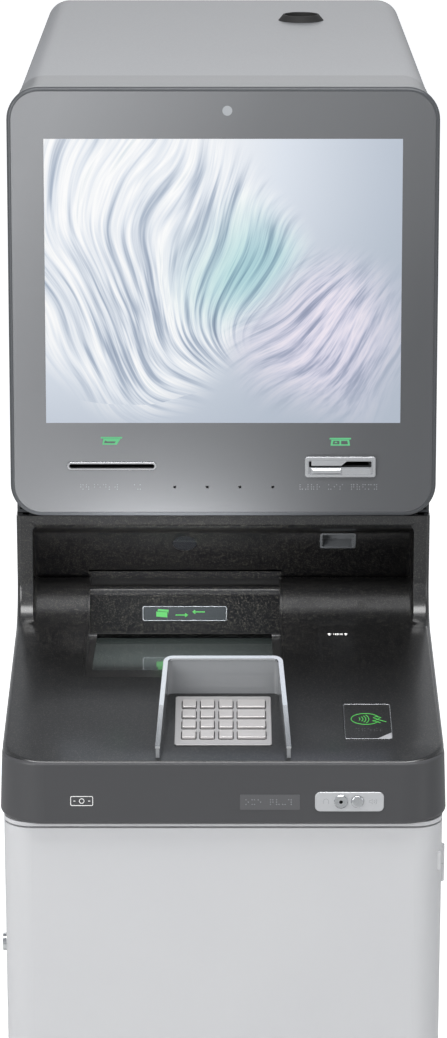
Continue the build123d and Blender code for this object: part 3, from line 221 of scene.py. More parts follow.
def pale_floor():
    """A plain pale floor; straight to the camera it is lifted to white."""
    material, tree, shader = start_material("pale_floor", "#EEEEEC", Roughness=0.9)
    seen = add_node(tree, "ShaderNodeLightPath").outputs["Is Camera Ray"]
    lift = add_node(tree, "ShaderNodeMath", {0: seen, 1: FLOOR_LIFT}, operation="MULTIPLY").outputs["Value"]
    tree.links.new(lift, shader.inputs["Emission Strength"])
    shader.inputs["Emission Color"].default_value = linear("#FFFFFF")
    patch = object_noise(tree, 1.0, 1.0)
    vary(tree, shader, "Roughness", patch.outputs["Fac"], 0.85, 0.95)
    shape = bmesh.new()
    bmesh.ops.create_grid(shape, x_segments=8, y_segments=8, size=FLOOR_HALF)
    mesh = bpy.data.meshes.new("studio_floor")
    shape.to_mesh(mesh)
    shape.free()
    mesh.materials.append(material)
    floor = bpy.data.objects.new("studio_floor", mesh)
    bpy.context.scene.collection.objects.link(floor)
    return floor


white_sky()
pale_floor()
print("sky and floor ready")

# %% [markdown]
# ## Powder coat
# Cabinet, door and hood are sheet steel with a baked powder coat. The hood's coat is a darker copy
# of the cabinet's light grey: painted shade that stands for the dimmer light on it. The powder melts
# into a skin with a very fine orange peel, which gives a soft, broad highlight. The peel is about half
# a millimetre across; it is drawn at 1.5 mm so that it shows at all.

# %% Powder coats
PEEL = 1.5 * MM


def powder_coat(name, base, shade):
    material, tree, shader = start_material(name, base, Roughness=0.42, IOR=1.5)
    wide = object_noise(tree, 180 * MM, 1.0)
    tint(tree, shader, wide.outputs["Fac"], base, shade)
    peel = object_noise(tree, PEEL, 1.0)
    bump_from(tree, shader, peel.outputs["Fac"], 0.12, 0.2 * MM)
    vary(tree, shader, "Roughness", peel.outputs["Fac"], 0.36, 0.48)
    return material


# Baked polyester on sheet steel: an even colour with a broad, soft sheen.
cabinet_paint = powder_coat("light_grey_powder_coat", "#CFCFD0", "#CBCBCD")
# Painted shade: the hood gets a darker grey than the cabinet, though both are the same paint.
hood_paint_painted_shade = powder_coat("grey_powder_coat", "#7F8083", "#7C7D80")
safe_paint = powder_coat("dark_safe_paint", "#4A4C50", "#45474B")
plinth_paint = powder_coat("black_powder_coat", "#2A2A2C", "#262628")
print("coats", len(bpy.data.materials))

# %% [markdown]
# ## Sparkle paint and satin mouldings
# The console is moulded plastic sprayed with a near-black paint that holds tiny metal flakes. Each
# flake is a speck of one cell of a Voronoi pattern that happens to be bright. Real flakes are about
# 0.2 mm; they are drawn at 0.8 mm to show. The apron and the display's ring are plain satin plastic.

# %% Console, apron and ring plastics
FLAKE = 0.8 * MM


def sparkle_paint():
    material, tree, shader = start_material("near_black_sparkle_paint", "#17181A", Roughness=0.36, IOR=1.5,
                                            Coat_Weight=1.0, Coat_Roughness=0.15)
    place = add_node(tree, "ShaderNodeTexCoord")
    cells = add_node(tree, "ShaderNodeTexVoronoi", {"Vector": place.outputs["Object"], "Scale": 1 / FLAKE})
    pick = add_node(tree, "ShaderNodeSeparateColor", {"Color": cells.outputs["Color"]})
    bright = add_node(tree, "ShaderNodeMapRange", {"Value": pick.outputs["Red"], "From Min": 0.7,
                                                   "From Max": 1.0})
    tint(tree, shader, bright.outputs["Result"], "#050507", "#33322E")
    vary(tree, shader, "Roughness", pick.outputs["Green"], 0.31, 0.38)
    grain = object_noise(tree, FLAKE, 1.0)
    bump_from(tree, shader, grain.outputs["Fac"], 0.035, 0.15 * MM)
    return material


def satin_plastic(name, base, rough=0.38):
    material, tree, shader = start_material(name, base, Roughness=rough, IOR=1.48)
    grain = object_noise(tree, 0.9 * MM, 1.0)
    bump_from(tree, shader, grain.outputs["Fac"], 0.1, 0.15 * MM)
    vary(tree, shader, "Roughness", grain.outputs["Fac"], rough - 0.05, rough + 0.05)
    return material


console_paint = sparkle_paint()
# Moulded ABS with a fine spark-eroded grain, which blurs what it reflects.
apron_plastic = satin_plastic("satin_grey_moulding", "#464648")
ring_plastic = satin_plastic("satin_ring_moulding", "#46484B", 0.32)
inner_plastic = satin_plastic("black_inner_moulding", "#1C1D1F", 0.5)
cassette_plastic = satin_plastic("blue_grey_moulding", "#3B424E", 0.45)
paper = satin_plastic("thermal_paper", "#EFEEE9", 0.7)

# %% [markdown]
# ## Gloss and metals
# The privacy shield and the shutter are polished plastic, which mirrors the lights sharply. Trims are
# plated, and the key pad is brushed stainless steel: its lines run across the pad, so the noise is
# stretched along X until its blobs become hairlines.

# %% Gloss and metals


def gloss_plastic(name, base, rough=0.07):
    material, tree, shader = start_material(name, base, Roughness=rough, IOR=1.5, Coat_Weight=0.6,
                                            Coat_Roughness=0.04)
    haze = object_noise(tree, 30 * MM, 2.0)
    vary(tree, shader, "Roughness", haze.outputs["Fac"], rough, rough + 0.06)
    return material


def brushed_metal(name, base, rough, stretch=(0.04, 1, 1), metallic=1.0):
    material, tree, shader = start_material(name, base, Metallic=metallic, Roughness=rough)
    lines = object_noise(tree, 0.8 * MM, 2.0, stretch)
    bump_from(tree, shader, lines.outputs["Fac"], 0.12, 0.1 * MM)
    vary(tree, shader, "Roughness", lines.outputs["Fac"], rough - 0.07, rough + 0.1)
    return material


# Polished acrylic and polycarbonate: a sharp, faint mirror over a flat colour.
shield_gloss = gloss_plastic("grey_gloss_shield", "#8A8C8E", 0.14)
window_gloss = gloss_plastic("black_gloss_window", "#141517", 0.06)
shutter_gloss = gloss_plastic("smoked_gloss_shutter", "#2B302F", 0.05)
bezel_gloss = gloss_plastic("grey_gloss_bezel", "#4C4E50", 0.16)
label_gloss = gloss_plastic("dark_label_panel", "#26292B", 0.18)
# Steel and plating: the noise lines spread the highlight across the brushing.
pad_steel = brushed_metal("brushed_stainless_steel", "#BAB8B8", 0.42, metallic=0.4)
key_steel = brushed_metal("satin_key_steel", "#D8D4D2", 0.34, metallic=0.5)
plated_trim = brushed_metal("plated_trim", "#C9CBCD", 0.2, (1, 1, 1))
slot_silver = brushed_metal("slot_frame_silver", "#D5D6D8", 0.22, (1, 1, 1), 0.85)
silver_plate = brushed_metal("satin_silver_plate", "#C9CACC", 0.4, metallic=0.5)
zinc_steel = brushed_metal("zinc_plated_steel", "#A7A9AA", 0.38, (1, 1, 0.08))
print("materials so far", len(bpy.data.materials))


# %% [markdown]
# ## Rubber and inks
# The grommet is black rubber: rough, so it shows no clear highlight. The signs are inks. Green ones
# are lit from behind, so they glow a little. White ones are screen printed, with a faint painted glow
# that makes them brighter than the lamps alone would; grey ones are screen printed and dull.

# %% Rubber and inks


def rubber_material():
    material, tree, shader = start_material("black_rubber", "#1D1C1C", Roughness=0.7, IOR=1.5)
    grain = object_noise(tree, 1.2 * MM, 2.0)
    bump_from(tree, shader, grain.outputs["Fac"], 0.3, 0.2 * MM)
    vary(tree, shader, "Roughness", grain.outputs["Fac"], 0.6, 0.8)
    return material


def lit_print(name, code, strength, unlit="#2A3A30"):
    """Ink with a glow of the given strength: lit from behind on the symbols that show the user where to go, a
    painted glow on the white ink.
    """
    material, tree, shader = start_material(name, unlit, Roughness=0.5, Emission_Strength=strength)
    shader.inputs["Emission Color"].default_value = linear(code)
    patch = object_noise(tree, 2 * MM, 1.0)
    vary(tree, shader, "Roughness", patch.outputs["Fac"], 0.45, 0.55)
    return material


rubber = rubber_material()
green_light = lit_print("soft_green_symbol", "#5FCF8A", 0.8)
bright_green = lit_print("bright_green_symbol", "#4FD24F", 0.8)
# Painted glow: the white ink emits a little, though it is print with no lamp behind it.
white_ink_painted_glow = lit_print("white_ink_painted_glow", "#E8E8E6", 0.25, "#E8E8E6")
grey_ink = lit_print("grey_ink", "#8D9093", 0.0, "#8D9093")
dark_ink = lit_print("dark_ink", "#4A4C4E", 0.0, "#4A4C4E")
hole_ink = lit_print("dark_symbol_ground", "#4A4D4F", 0.0, "#4A4D4F")

# %% [markdown]
# ## Planes of the machine
# Most details lie on one of four flat faces. Each gets a matrix that takes a point given across the
# face, up the face and out of it to the machine's own frame. The anchor of each comes from the CAD
# nodes' boxes, so the details follow the model.

# %% Face matrices
PANEL_TILT = 4.66  # degrees that the display leans back
DESK_SLOPE = 10.0  # degrees that the desk rises towards the back
GLASS_T = 4 * MM
APRON_DRAFT = math.degrees(math.atan2(2.5, 64.5))


def face_matrix(origin, pitch):
    """A frame at origin with X across and Y up a face that is pitched up from flat by pitch degrees."""
    return Matrix.Translation(origin) @ Matrix.Rotation(math.radians(pitch), 4, "X")


def middle(name):
    low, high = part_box(name)
    return (low + high) / 2


tilt = math.radians(PANEL_TILT)
glass_normal = Vector((0, -math.cos(tilt), math.sin(tilt)))
GLASS_MIDDLE_T = -174.0  # the glass's middle, below the picture's top edge, in mm
panel_middle = middle("front_glass") + glass_normal * GLASS_T / 2
panel_up = Vector((0, math.sin(tilt), math.cos(tilt)))
PANEL = face_matrix(panel_middle - panel_up * GLASS_MIDDLE_T * MM, 90 - PANEL_TILT)
door_low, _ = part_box("front_door")
apron_low, apron_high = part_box("apron")
DESK = face_matrix((0, door_low.y, apron_high.z + 0.5 * MM), DESK_SLOPE)
APRON = face_matrix((0, apron_low.y + 2.5 * MM, apron_high.z), 90 - APRON_DRAFT)
label_middle = middle("label_window")
LABEL = face_matrix((label_middle.x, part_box("label_window")[0].y, label_middle.z), 90)
print("panel origin", [round(v, 4) for v in PANEL.translation])

# %% [markdown]
# ## Tools for small parts
# Printed symbols and raised dots are real, very thin solids, so they cast and catch light. A closed
# outline becomes a face that is extruded, a line becomes a round wire sunk half into its face, and a
# dot is half a sphere.

# %% Part helpers


def to_object(name, mesh, material, body):
    for face in mesh.polygons:
        face.use_smooth = True
    piece = bpy.data.objects.new(name, mesh)
    piece.data.materials.clear()
    piece.data.materials.append(material)
    bpy.context.scene.collection.objects.link(piece)
    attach(piece, body)
    return piece


def from_bmesh(shape, name, place, material, body="root", flat=True):
    """Place a bmesh given in millimetres on a face, and make it a piece."""
    bmesh.ops.scale(shape, vec=(MM, MM, MM), verts=shape.verts)
    bmesh.ops.transform(shape, matrix=place, verts=shape.verts)
    bmesh.ops.recalc_face_normals(shape, faces=shape.faces)
    mesh = bpy.data.meshes.new(name)
    shape.to_mesh(mesh)
    shape.free()
    piece = to_object(name, mesh, material, body)
    if flat:
        for face in piece.data.polygons:
            face.use_smooth = False
    return piece


def add_slab(shape, points, low, high):
    """Extrude a closed outline from z = low to z = high, in the given bmesh."""
    face = shape.faces.new([shape.verts.new((x, y, low)) for x, y in points])
    grown = bmesh.ops.extrude_face_region(shape, geom=[face])
    top = [v for v in grown["geom"] if isinstance(v, bmesh.types.BMVert)]
    bmesh.ops.translate(shape, vec=(0, 0, high - low), verts=top)


def slabs(name, place, outlines, thickness, material, body="root", base=-0.05):
    """One piece from several closed outlines on a face."""
    shape = bmesh.new()
    for points in outlines:
        add_slab(shape, points, base, thickness)
    return from_bmesh(shape, name, place, material, body)


def wires(name, place, lines, radius, material, body="root"):
    """One piece from several lines, each (points, closed), drawn as thin round wire."""
    curve = bpy.data.curves.new(name, "CURVE")
    curve.dimensions = "3D"
    curve.bevel_depth = radius
    curve.bevel_resolution = 1
    for points, closed in lines:
        spline = curve.splines.new("POLY")
        spline.points.add(len(points) - 1)
        for point, (x, y) in zip(spline.points, points):
            point.co = (x, y, 0, 1)
        spline.use_cyclic_u = closed
    curve.use_fill_caps = True
    holder = bpy.data.objects.new(name + "_curve", curve)
    mesh = bpy.data.meshes.new_from_object(holder)
    bpy.data.objects.remove(holder)
    bpy.data.curves.remove(curve)
    mesh.name = name
    mesh.transform(place @ Matrix.Scale(MM, 4))
    return to_object(name, mesh, material, body)


def arc(x, y, radius, start, end, steps=16, squash=1.0):
    """Points along an arc, in degrees."""
    turn = [math.radians(start + (end - start) * i / steps) for i in range(steps + 1)]
    return [(x + radius * math.cos(a), y + squash * radius * math.sin(a)) for a in turn]


def rounded_box(x, y, width, height, corner):
    """Outline of a rectangle with round corners."""
    points = []
    for cx, cy, start in ((1, 1, 0), (-1, 1, 90), (-1, -1, 180), (1, -1, 270)):
        centre = (x + cx * (width / 2 - corner), y + cy * (height / 2 - corner))
        points += arc(*centre, corner, start, start + 90, 5)
    return points


def dots(name, place, centres, radius, height, material):
    """One piece of low round dots."""
    shape = bmesh.new()
    for x, y in centres:
        made = bmesh.ops.create_uvsphere(shape, u_segments=8, v_segments=6, radius=radius)
        bmesh.ops.scale(shape, vec=(1, 1, height / radius), verts=made["verts"])
        bmesh.ops.translate(shape, vec=(x, y, 0), verts=made["verts"])
    return from_bmesh(shape, name, place, material, flat=False)


# %% [markdown]
# ## The display
# The front is one sheet of glass, printed grey on its back except over the picture. The grey is
# painted lighter at the upper left and darker to the right, a painted reflection over the even ink.
# The glass node keeps its shape, and one material does both jobs: a mask made from the distance to the
# picture's middle decides where ink ends and light begins. The picture is an invented wave of fine
# folds, in pale blue and white, made from rings that a broad noise pushes out of shape.

# %% Display glass
PICTURE = (376.3 * MM, 301.1 * MM)
PICTURE_MIDDLE = PANEL @ Vector((0, -PICTURE[1] / 2, 0))


def maths(tree, operation, first, second=0.0, third=0.0):
    made = add_node(tree, "ShaderNodeMath", {0: first, 1: second, 2: third}, operation=operation)
    return made.outputs["Value"]


def vector_maths(tree, operation, first, second, output="Vector"):
    return add_node(tree, "ShaderNodeVectorMath", {0: first, 1: second}, operation=operation).outputs[output]


def pleats(tree, vector, centre, count, twist, seed):
    """Folds that fan out from a centre, like pleated cloth; twist bends them as they run outward."""
    moved = vector_maths(tree, "SUBTRACT", vector, centre)
    axes = add_node(tree, "ShaderNodeSeparateXYZ", {"Vector": moved})
    angle = maths(tree, "ARCTAN2", axes.outputs["Y"], axes.outputs["X"])
    reach = add_node(tree, "ShaderNodeVectorMath", {0: moved}, operation="LENGTH").outputs["Value"]
    bent = maths(tree, "ADD", maths(tree, "MULTIPLY", reach, twist), angle)
    along = maths(tree, "MULTIPLY", reach, 0.5)
    line = add_node(tree, "ShaderNodeCombineXYZ", {"X": bent, "Y": along, "Z": seed})
    folds = add_node(tree, "ShaderNodeTexNoise", {"Vector": line.outputs["Vector"], "Scale": count,
                                                  "Detail": 3.0, "Roughness": 0.6})
    return folds.outputs["Fac"]


def soft_disc(tree, vector, centre, inner, outer):
    """1 within inner metres of a centre, falling to 0 at outer."""
    away = vector_maths(tree, "DISTANCE", vector, centre, "Value")
    fall = add_node(tree, "ShaderNodeMapRange", {"Value": away, "From Min": inner, "From Max": outer,
                                                 "To Min": 1.0, "To Max": 0.0},
                    interpolation_type="SMOOTHSTEP")
    return fall.outputs["Result"]


def display_material():
    material, tree, shader = start_material("printed_display_glass", "#75787B", Roughness=0.1, IOR=1.5,
                                            Emission_Strength=0.95)
    place = add_node(tree, "ShaderNodeTexCoord")
    upright = (math.radians(90 - PANEL_TILT), 0, 0)
    mapped = add_node(tree, "ShaderNodeMapping", {"Vector": place.outputs["Object"],
                                                  "Location": PICTURE_MIDDLE, "Rotation": upright},
                      vector_type="TEXTURE")
    local = mapped.outputs["Vector"]
    axes = add_node(tree, "ShaderNodeSeparateXYZ", {"Vector": local})
    inside_x = maths(tree, "LESS_THAN", maths(tree, "ABSOLUTE", axes.outputs["X"]), PICTURE[0] / 2)
    inside_y = maths(tree, "LESS_THAN", maths(tree, "ABSOLUTE", axes.outputs["Y"]), PICTURE[1] / 2)
    mask = maths(tree, "MULTIPLY", inside_x, inside_y)

    broad = add_node(tree, "ShaderNodeTexNoise", {"Vector": local, "Scale": 5.0, "Detail": 1.0})
    shift = vector_maths(tree, "SUBTRACT", broad.outputs["Color"], (0.5, 0.5, 0.5))
    push = add_node(tree, "ShaderNodeVectorMath", {0: shift, "Scale": 0.12}, operation="SCALE")
    bent = vector_maths(tree, "ADD", local, push.outputs["Vector"])
    corner_light = soft_disc(tree, local, (-0.17, 0.16, 0), 0.05, 0.42)
    sky = ramp(tree, corner_light, [(0.0, "#B4BECC"), (0.5, "#DDE4EE"), (1.0, "#FFFFFF")])
    cloth = [(0.2, "#7F8CA3"), (0.38, "#AEBACB"), (0.5, "#E3E9F1"), (0.62, "#FFFFFF"), (0.8, "#C3D3DE")]
    sail = ramp(tree, pleats(tree, bent, (0.075, -0.12, 0), 16.0, 4.5, 1.0), cloth)
    sea_spot = soft_disc(tree, bent, (0.02, 0.02, 0), 0.0, 0.1)
    tinted = mix_colour(tree, sea_spot, sail, linear("#BFE3E4"), "MULTIPLY")
    picture = mix_colour(tree, soft_disc(tree, bent, (-0.08, 0.02, 0), 0.12, 0.17), sky, tinted)
    drape = ramp(tree, pleats(tree, bent, (0.16, 0.22, 0), 34.0, 2.0, 5.0), cloth)
    lilac = mix_colour(tree, 0.6, drape, linear("#E7D9EC"), "MULTIPLY")
    picture = mix_colour(tree, soft_disc(tree, bent, (0.115, -0.06, 0), 0.02, 0.11), picture, lilac)

    # Painted reflection: the grey print is made lighter towards the upper left and darker to the right.
    painted_reflection_slope = maths(tree, "ADD", maths(tree, "MULTIPLY", axes.outputs["X"], 1.9),
                 maths(tree, "MULTIPLY", axes.outputs["Y"], -0.9))
    spread = add_node(tree, "ShaderNodeMapRange", {"Value": painted_reflection_slope, "From Min": -0.5, "From Max": 0.45})
    ink_with_painted_reflection = ramp(tree, spread.outputs["Result"], [(0.0, "#868789"), (0.45, "#666769"), (1.0, "#525355")])
    base = mix_colour(tree, mask, ink_with_painted_reflection, linear("#050506"))
    tree.links.new(base, shader.inputs["Base Color"])
    light = mix_colour(tree, mask, linear("#000000"), picture)
    tree.links.new(light, shader.inputs["Emission Color"])
    return material


display_glass = display_material()

# %% [markdown]
# ## Finishes for the CAD nodes
# Every node of the model keeps its mesh and gets the finish of what it is made of.

# %% Assign finishes
FINISHES = {
    cabinet_paint: ["cabinet_sides", "cabinet_deck", "door_hinges", "front_door"],
    hood_paint_painted_shade: ["top_hood", "service_door"],
    safe_paint: ["safe_body", "safe_door"],
    plinth_paint: ["base_frame"],
    zinc_steel: ["safe_hinges", "safe_handle", "safe_bolt_bar", "service_hinges", "cash_module"],
    plated_trim: ["door_lock", "lock_dial", "service_lock", "headphone_jack", "volume_button", "shield_trim"],
    slot_silver: ["receipt_bezel", "card_bezel"],
    ring_plastic: ["display_bezel", "display_collar"],
    apron_plastic: ["apron"],
    console_paint: ["console_shell", "cash_bezel", "contactless_reader"],
    inner_plastic: ["lcd_module", "webcam", "receipt_printer", "card_reader", "control_pc"],
    cassette_plastic: ["cash_cassettes"],
    shield_gloss: ["pin_shield"],
    shutter_gloss: ["cash_shutter"],
    label_gloss: ["label_window"],
    window_gloss: ["camera_window"],
    bezel_gloss: ["scanner_bezel"],
    silver_plate: ["jack_plate"],
    pad_steel: ["pinpad_body"],
    rubber: ["cable_grommet"],
    paper: ["paper_roll"],
    display_glass: ["front_glass"],
    key_steel: [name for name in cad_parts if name.startswith("key_")],
}
for finish, names in FINISHES.items():
    for name in names:
        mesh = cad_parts[name].data
        mesh.materials.clear()
        mesh.materials.append(finish)
bare = set(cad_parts) - {name for names in FINISHES.values() for name in names}
print("nodes without a finish", sorted(bare))

# %% [markdown]
# ## Soft edges on the console
# The inner front edges of the cheeks are rounded by a few millimetres in a moulding, and catch a long
# highlight there. A copy of the console's mesh is welded, its flat faces round those edges are merged,
# and the edges are bevelled. The copy then stands for the CAD node.

# %% Console with soft edges
CHEEK_INNER = 205 * MM
CHEEK_FRONT = -236 * MM
CHEEK_ROUND = 3.5 * MM
CHEEK_LOW, CHEEK_HIGH = 905 * MM, 979 * MM
SHARP_ANGLE = 0.7  # radians, about 40 degrees
CREASE_ANGLE = math.radians(30)


def near(value, target, margin=0.2 * MM):
    return abs(value - target) < margin


def on_cheek_edge(edge):
    """True for an edge between a cheek's inner face and its front."""
    inner = all(near(abs(v.co.x), CHEEK_INNER) and v.co.y < CHEEK_FRONT + 3 * MM for v in edge.verts)
    between = all(CHEEK_LOW < v.co.z < CHEEK_HIGH for v in edge.verts)
    return inner and between and edge.calc_face_angle(0) > SHARP_ANGLE


def on_cheek_face(edge):
    """True for a needless edge within a cheek's flat inner face or its flat front."""
    flat = edge.calc_face_angle(1) < 0.001
    inner = all(near(abs(v.co.x), CHEEK_INNER) for v in edge.verts)
    front = all(near(v.co.y, CHEEK_FRONT) for v in edge.verts)
    return flat and (inner or front)


def soften_console():
    shape = bmesh.new()
    shape.from_mesh(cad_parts["console_shell"].data)
    bmesh.ops.remove_doubles(shape, verts=shape.verts, dist=0.001 * MM)
    bmesh.ops.dissolve_edges(shape, edges=[e for e in shape.edges if on_cheek_face(e)], use_verts=False)
    rims = [edge for edge in shape.edges if on_cheek_edge(edge)]
    bmesh.ops.bevel(shape, geom=rims, offset=CHEEK_ROUND, offset_type="OFFSET", affect="EDGES", segments=5,
                    profile=0.5, material=-1, clamp_overlap=True)
    bmesh.ops.triangulate(shape, faces=[f for f in shape.faces if len(f.verts) > 4])
    for edge in shape.edges:
        edge.smooth = edge.calc_face_angle(0) < CREASE_ANGLE
    mesh = bpy.data.meshes.new("console_soft")
    shape.to_mesh(mesh)
    shape.free()
    piece = to_object("console_soft", mesh, console_paint, "root")
    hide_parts("console_shell")
    print("bevelled edges", len(rims), "faces", len(mesh.polygons))
    return piece


soften_console()

# %% [markdown]
# ## Symbols over the slots
# A small lit symbol over each slot says what it is for. They are invented signs: a sheet that leaves
# a slot, and a card beside a slot.

# %% Slot symbols
RECEIPT_SIGN = (-118.9, -320.4)
CARD_SIGN = (124.6, -321.4)


def shifted(points, x, y):
    return [(px + x, py + y) for px, py in points]


def all_shifted(centre, *outlines):
    return [shifted(points, *centre) for points in outlines]


def slot_signs():
    bar = rounded_box(0, 3.3, 23, 1.7, 0.8)
    sheet = [(-8.6, 2.2), (9.6, 2.2), (5.6, -4.2), (-9.8, -4.2)]
    fold = [(-6.9, 0.6), (-8.0, -2.6), (3.4, -2.6), (4.6, -0.6), (-4.4, -0.6)]
    slabs("receipt_sign", PANEL, all_shifted(RECEIPT_SIGN, bar, sheet), 0.15, green_light)
    slabs("receipt_sign_gap", PANEL, all_shifted(RECEIPT_SIGN, fold), 0.2, hole_ink)
    card = [(-9.4, 2.2), (9.4, 2.2), (10.4, -4.2), (-10.4, -4.2)]
    left = [(-7.4, 1.0), (-0.9, 1.0), (-0.9, -2.8), (-8.2, -2.8)]
    right = [(0.9, 1.0), (7.4, 1.0), (8.2, -2.8), (0.9, -2.8)]
    arrow = [(-4.6, 0.4), (-2.6, -1.4), (-6.6, -1.4)]
    slabs("card_sign", PANEL, all_shifted(CARD_SIGN, bar, card), 0.15, green_light)
    slabs("card_sign_gaps", PANEL, all_shifted(CARD_SIGN, left, right), 0.2, hole_ink)
    slabs("card_sign_arrow", PANEL, all_shifted(CARD_SIGN, arrow), 0.25, green_light)


slot_signs()
print("slot signs made")

# %% [markdown]
# ## Raised dots
# Rows of dots help a user who reads by touch. These are an even made-up pattern that spells nothing:
# a seeded generator picks which of the six places of each cell is filled.

# %% Touch dots
DOT_R = 0.55
DOT_H = 0.35
CELL = 6.1
DOT_STEP = 2.4
DOT_ROW = -370.3  # height of the rows on the panel


def touch_cells(x0, x1, y, seed, gaps=()):
    """Centres of the dots of a row of six-place cells."""
    pick = random.Random(seed)
    centres = []
    for number in range(int((x1 - x0) / CELL)):
        filled = [pick.random() < 0.55 for _ in range(6)]
        if number in gaps:
            continue
        left = x0 + number * CELL
        for place, on in enumerate(filled):
            if on:
                centres.append((left + (place % 2) * DOT_STEP, y + (1 - place // 2) * DOT_STEP))
    return centres


dots("receipt_dots", PANEL, touch_cells(-152, -82, DOT_ROW, 3, (7,)), DOT_R, DOT_H, grey_ink)
dots("card_dots", PANEL, touch_cells(82, 168, DOT_ROW, 8, (4, 8)), DOT_R, DOT_H, grey_ink)
print("touch dots made")

# %% [markdown]
# ## Camera window and card mouth
# The front camera looks out through a small round window over the picture. The card mouth is a plated
# casting: a lip with a slanted end covers its upper left, and a ramp leads the card in below it.

# %% Webcam ring and card lips
WEBCAM = (4.3, 29.3)
WEBCAM_R, WEBCAM_RIM = 5.2, 1.1
CARD = (124.8, -348.7)
CARD_LEFT, CARD_EDGE = -30.8, 7.6


def webcam_window():
    shape = bmesh.new()
    made = bmesh.ops.create_circle(shape, cap_ends=True, segments=40, radius=WEBCAM_R)
    bmesh.ops.inset_region(shape, faces=shape.faces[:], thickness=WEBCAM_RIM, depth=0.0)
    for vert in shape.verts:
        if vert.co.length < 4.6:
            vert.co.z = 0.25
    bmesh.ops.translate(shape, vec=(*WEBCAM, 0.12), verts=shape.verts)
    return from_bmesh(shape, "webcam_window", PANEL, webcam_glass, flat=False)


def card_lips():
    upper = [(CARD_LEFT, CARD_EDGE), (8.5, CARD_EDGE), (1.0, 1.6), (CARD_LEFT, 1.6)]
    lower = [(CARD_LEFT, -1.6), (1.2, -1.6), (1.2, -CARD_EDGE), (CARD_LEFT, -CARD_EDGE)]
    slabs("card_upper_lip", PANEL, [shifted(upper, *CARD)], 1.7, slot_silver, base=-1.0)
    shape = bmesh.new()
    add_slab(shape, shifted(lower, *CARD), -1.4, 1.2)
    front = max(shape.faces, key=lambda f: f.calc_center_median().z)
    bmesh.ops.inset_region(shape, faces=[front], thickness=2.2, depth=-1.4)
    from_bmesh(shape, "card_lower_ramp", PANEL, slot_silver)


webcam_glass = gloss_plastic("grey_camera_window", "#9A9DA0", 0.12)
webcam_window()
card_lips()

# %% [markdown]
# ## Cash label
# The label over the cash slot is lit from behind. It is a banknote sign with two arrows, one each way,
# in place of words. The notes are thin slabs and the arrows are round wires, so both keep a fine edge.

# %% Cash label
def cash_label():
    note = [(-31, -3.4), (-19, -4.4), (-19, 1.6), (-31, 2.2)]
    back = [(-29.5, 2.8), (-18.6, 2.0), (-18.2, -1.0), (-17.4, 4.2), (-29, 5.0)]
    slabs("cash_sign", LABEL, [note, back], 0.2, bright_green)
    lines = [([(-10, -1.8), (3, -1.8)], False), ([(0.5, -3.6), (3.2, -1.8), (0.5, 0.0)], False),
             ([(22, 1.8), (9, 1.8)], False), ([(11.5, 3.6), (8.8, 1.8), (11.5, 0.0)], False)]
    wires("cash_arrows", LABEL, lines, 0.65, bright_green)
    wires("cash_label_edge", LABEL, [(rounded_box(0, 0, 91, 16, 2), True)], 0.25, grey_ink)


cash_label()
print("cash label made")

# %% [markdown]
# ## Desk signs and reader
# The desk has a small white sign under the scanner: two arrows and six bars. The contactless reader
# has a fine silver line round it and a lit sign of a hand and waves. The gaps round the keys get
# painted shade: dark lines on the pad's face, because the real gap is too narrow to show its own shade.

# %% Desk signs and reader
SCAN_SIGN = (122.0, 272.0)
TAP = (146.7, 80.35)
TAP_SIZE = (48.6, 72.9)
KEY_COLUMNS = (-34.7, -16.1, 2.8, 28.7)
KEY_WIDTHS = (13.8, 13.8, 13.8, 28.3)
KEY_LOW_ROW, KEY_PITCH, KEY_LENGTH = 49.8, 21.17, 15.5
KEY_ROUND_GAP = 1.1


def desk_signs():
    arrow = [(0, 2.8), (-2.2, 0.2), (-0.8, 0.2), (-0.8, -2.4), (0.8, -2.4), (0.8, 0.2), (2.2, 0.2)]
    x, y = SCAN_SIGN
    outlines = [shifted(arrow, x - 8.8, y), shifted(arrow, x + 8.8, y)]
    for bar in range(6):
        left = x - 4.4 + 1.7 * bar
        right = left + 0.5 + 0.35 * (bar % 3)
        outlines.append([(left, y + 1.8), (right, y + 1.8), (right, y - 1.6), (left, y - 1.6)])
    slabs("scan_sign", DESK, outlines, 0.12, white_ink_painted_glow)


def tap_reader():
    x, y = TAP
    width, length = TAP_SIZE
    lift = DESK @ Matrix.Translation((0, 0, 0.6 * MM))
    wires("tap_outline", lift, [(rounded_box(x, y, width - 1.2, length - 1.2, 2.6), True)], 0.4, plated_trim)
    corner = shifted([(-1, 1), (-1, 13), (-15, 1)], x + width / 2, y - length / 2)
    slabs("tap_corner", lift, [corner], 0.3, silver_plate)
    lines = [(arc(x - 2, y + 5, 14.5, 25, 335, 40, 0.78), False)]
    lines += [(arc(x - 12, y + 5, 4.5 + 3.0 * number, -38, 38, 12), False) for number in range(4)]
    hand = [(19, -1), (12, 3), (6, 7.5), (9, 10), (14, 8), (8, 2), (5, 1), (10, -1), (13, -3)]
    lines.append((shifted(hand, x, y), False))
    wires("tap_sign", lift, lines, 0.42, bright_green)
    dots("tap_dots", lift, touch_cells(x - 18, x + 20, y - 17, 5), DOT_R, DOT_H, dark_ink)


def key_gap_shade_lines():
    """Painted shade in the gaps round the keys, as dark fine lines on the pad's face."""
    lift = DESK @ Matrix.Translation((0, 0, 1.5 * MM))
    outlines = []
    for row in range(4):
        y = KEY_LOW_ROW + row * KEY_PITCH
        for x, width in zip(KEY_COLUMNS, KEY_WIDTHS):
            shaded_gap_outline = rounded_box(x, y, width + KEY_ROUND_GAP, KEY_LENGTH + KEY_ROUND_GAP, 1.9)
            outlines.append((shaded_gap_outline, True))
    wires("key_gap_shade_lines", lift, outlines, 0.36, inner_plastic)


desk_signs()
tap_reader()
key_gap_shade_lines()
print("desk signs made")

# %% [markdown]
# ## Apron details
# The apron carries the touch plate, the signs beside the sound jack and the volume button, and a
# plain banknote sign at the left.

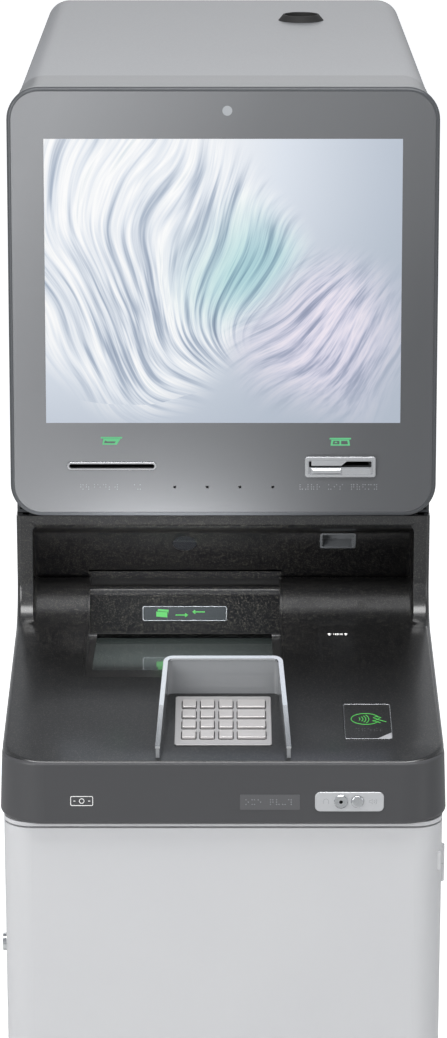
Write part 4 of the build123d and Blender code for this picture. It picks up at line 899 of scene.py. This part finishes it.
# %% Apron signs
TOUCH_LEFT, TOUCH_RIGHT = 16.7, 76.5
TOUCH_TOP, TOUCH_BOTTOM = -32.2, -48.1
TOUCH_THICK = 0.5
PHONES = (102.4, -39.1)
SOUND = (149.0, -39.1)
NOTE = (-141.0, -39.0)


def touch_plate():
    across, up = (TOUCH_LEFT + TOUCH_RIGHT) / 2, (TOUCH_TOP + TOUCH_BOTTOM) / 2
    plate = rounded_box(across, up, TOUCH_RIGHT - TOUCH_LEFT, TOUCH_TOP - TOUCH_BOTTOM, 1.2)
    slabs("touch_plate", APRON, [plate], TOUCH_THICK, touch_plastic, base=-0.1)
    lift = APRON @ Matrix.Translation((0, 0, TOUCH_THICK * MM))
    cells = touch_cells(TOUCH_LEFT + 6, TOUCH_RIGHT - 4, -40, 11, (3,))
    dots("touch_plate_dots", lift, cells, 0.6, DOT_H, grey_ink)


def sound_signs():
    """Headphones beside the socket, and a loudspeaker with two waves beside the volume button."""
    x, y = PHONES
    lines = [(arc(x, y, 2.6, 0, 180, 12), False), ([(x - 2.6, y), (x - 2.6, y - 2.4)], False),
             ([(x + 2.6, y), (x + 2.6, y - 2.4)], False)]
    horn = [(-3.4, -1), (-2, -1), (0, -2.6), (0, 2.6), (-2, 1), (-3.4, 1)]
    lines.append((shifted(horn, *SOUND), True))
    lines += [(arc(*SOUND, reach, -45, 45, 8), False) for reach in (2.2, 4.0)]
    on_plate = APRON @ Matrix.Translation((0, 0, 1.0 * MM))
    wires("sound_signs", on_plate, lines, 0.28, grey_ink)


def banknote_sign():
    x, y = NOTE
    note = [(rounded_box(x, y, 22, 9.5, 1.2), True), (arc(x, y, 2.4, 0, 345, 16), True),
            ([(x - 8.4, y), (x - 6.4, y)], False), ([(x + 6.4, y), (x + 8.4, y)], False)]
    wires("banknote_sign", APRON, note, 0.45, white_ink_painted_glow)


touch_plastic = satin_plastic("touch_plate_moulding", "#5A5A5C", 0.4)
touch_plate()
sound_signs()
banknote_sign()
print("apron signs made")

# %% [markdown]
# ## Sizes and finish
# The last cell brings the scene up to date. The signs and dots stand only a fraction of a millimetre
# off faces that lie inside the CAD model's box.

# %% Sizes and finish
bpy.context.view_layer.update()
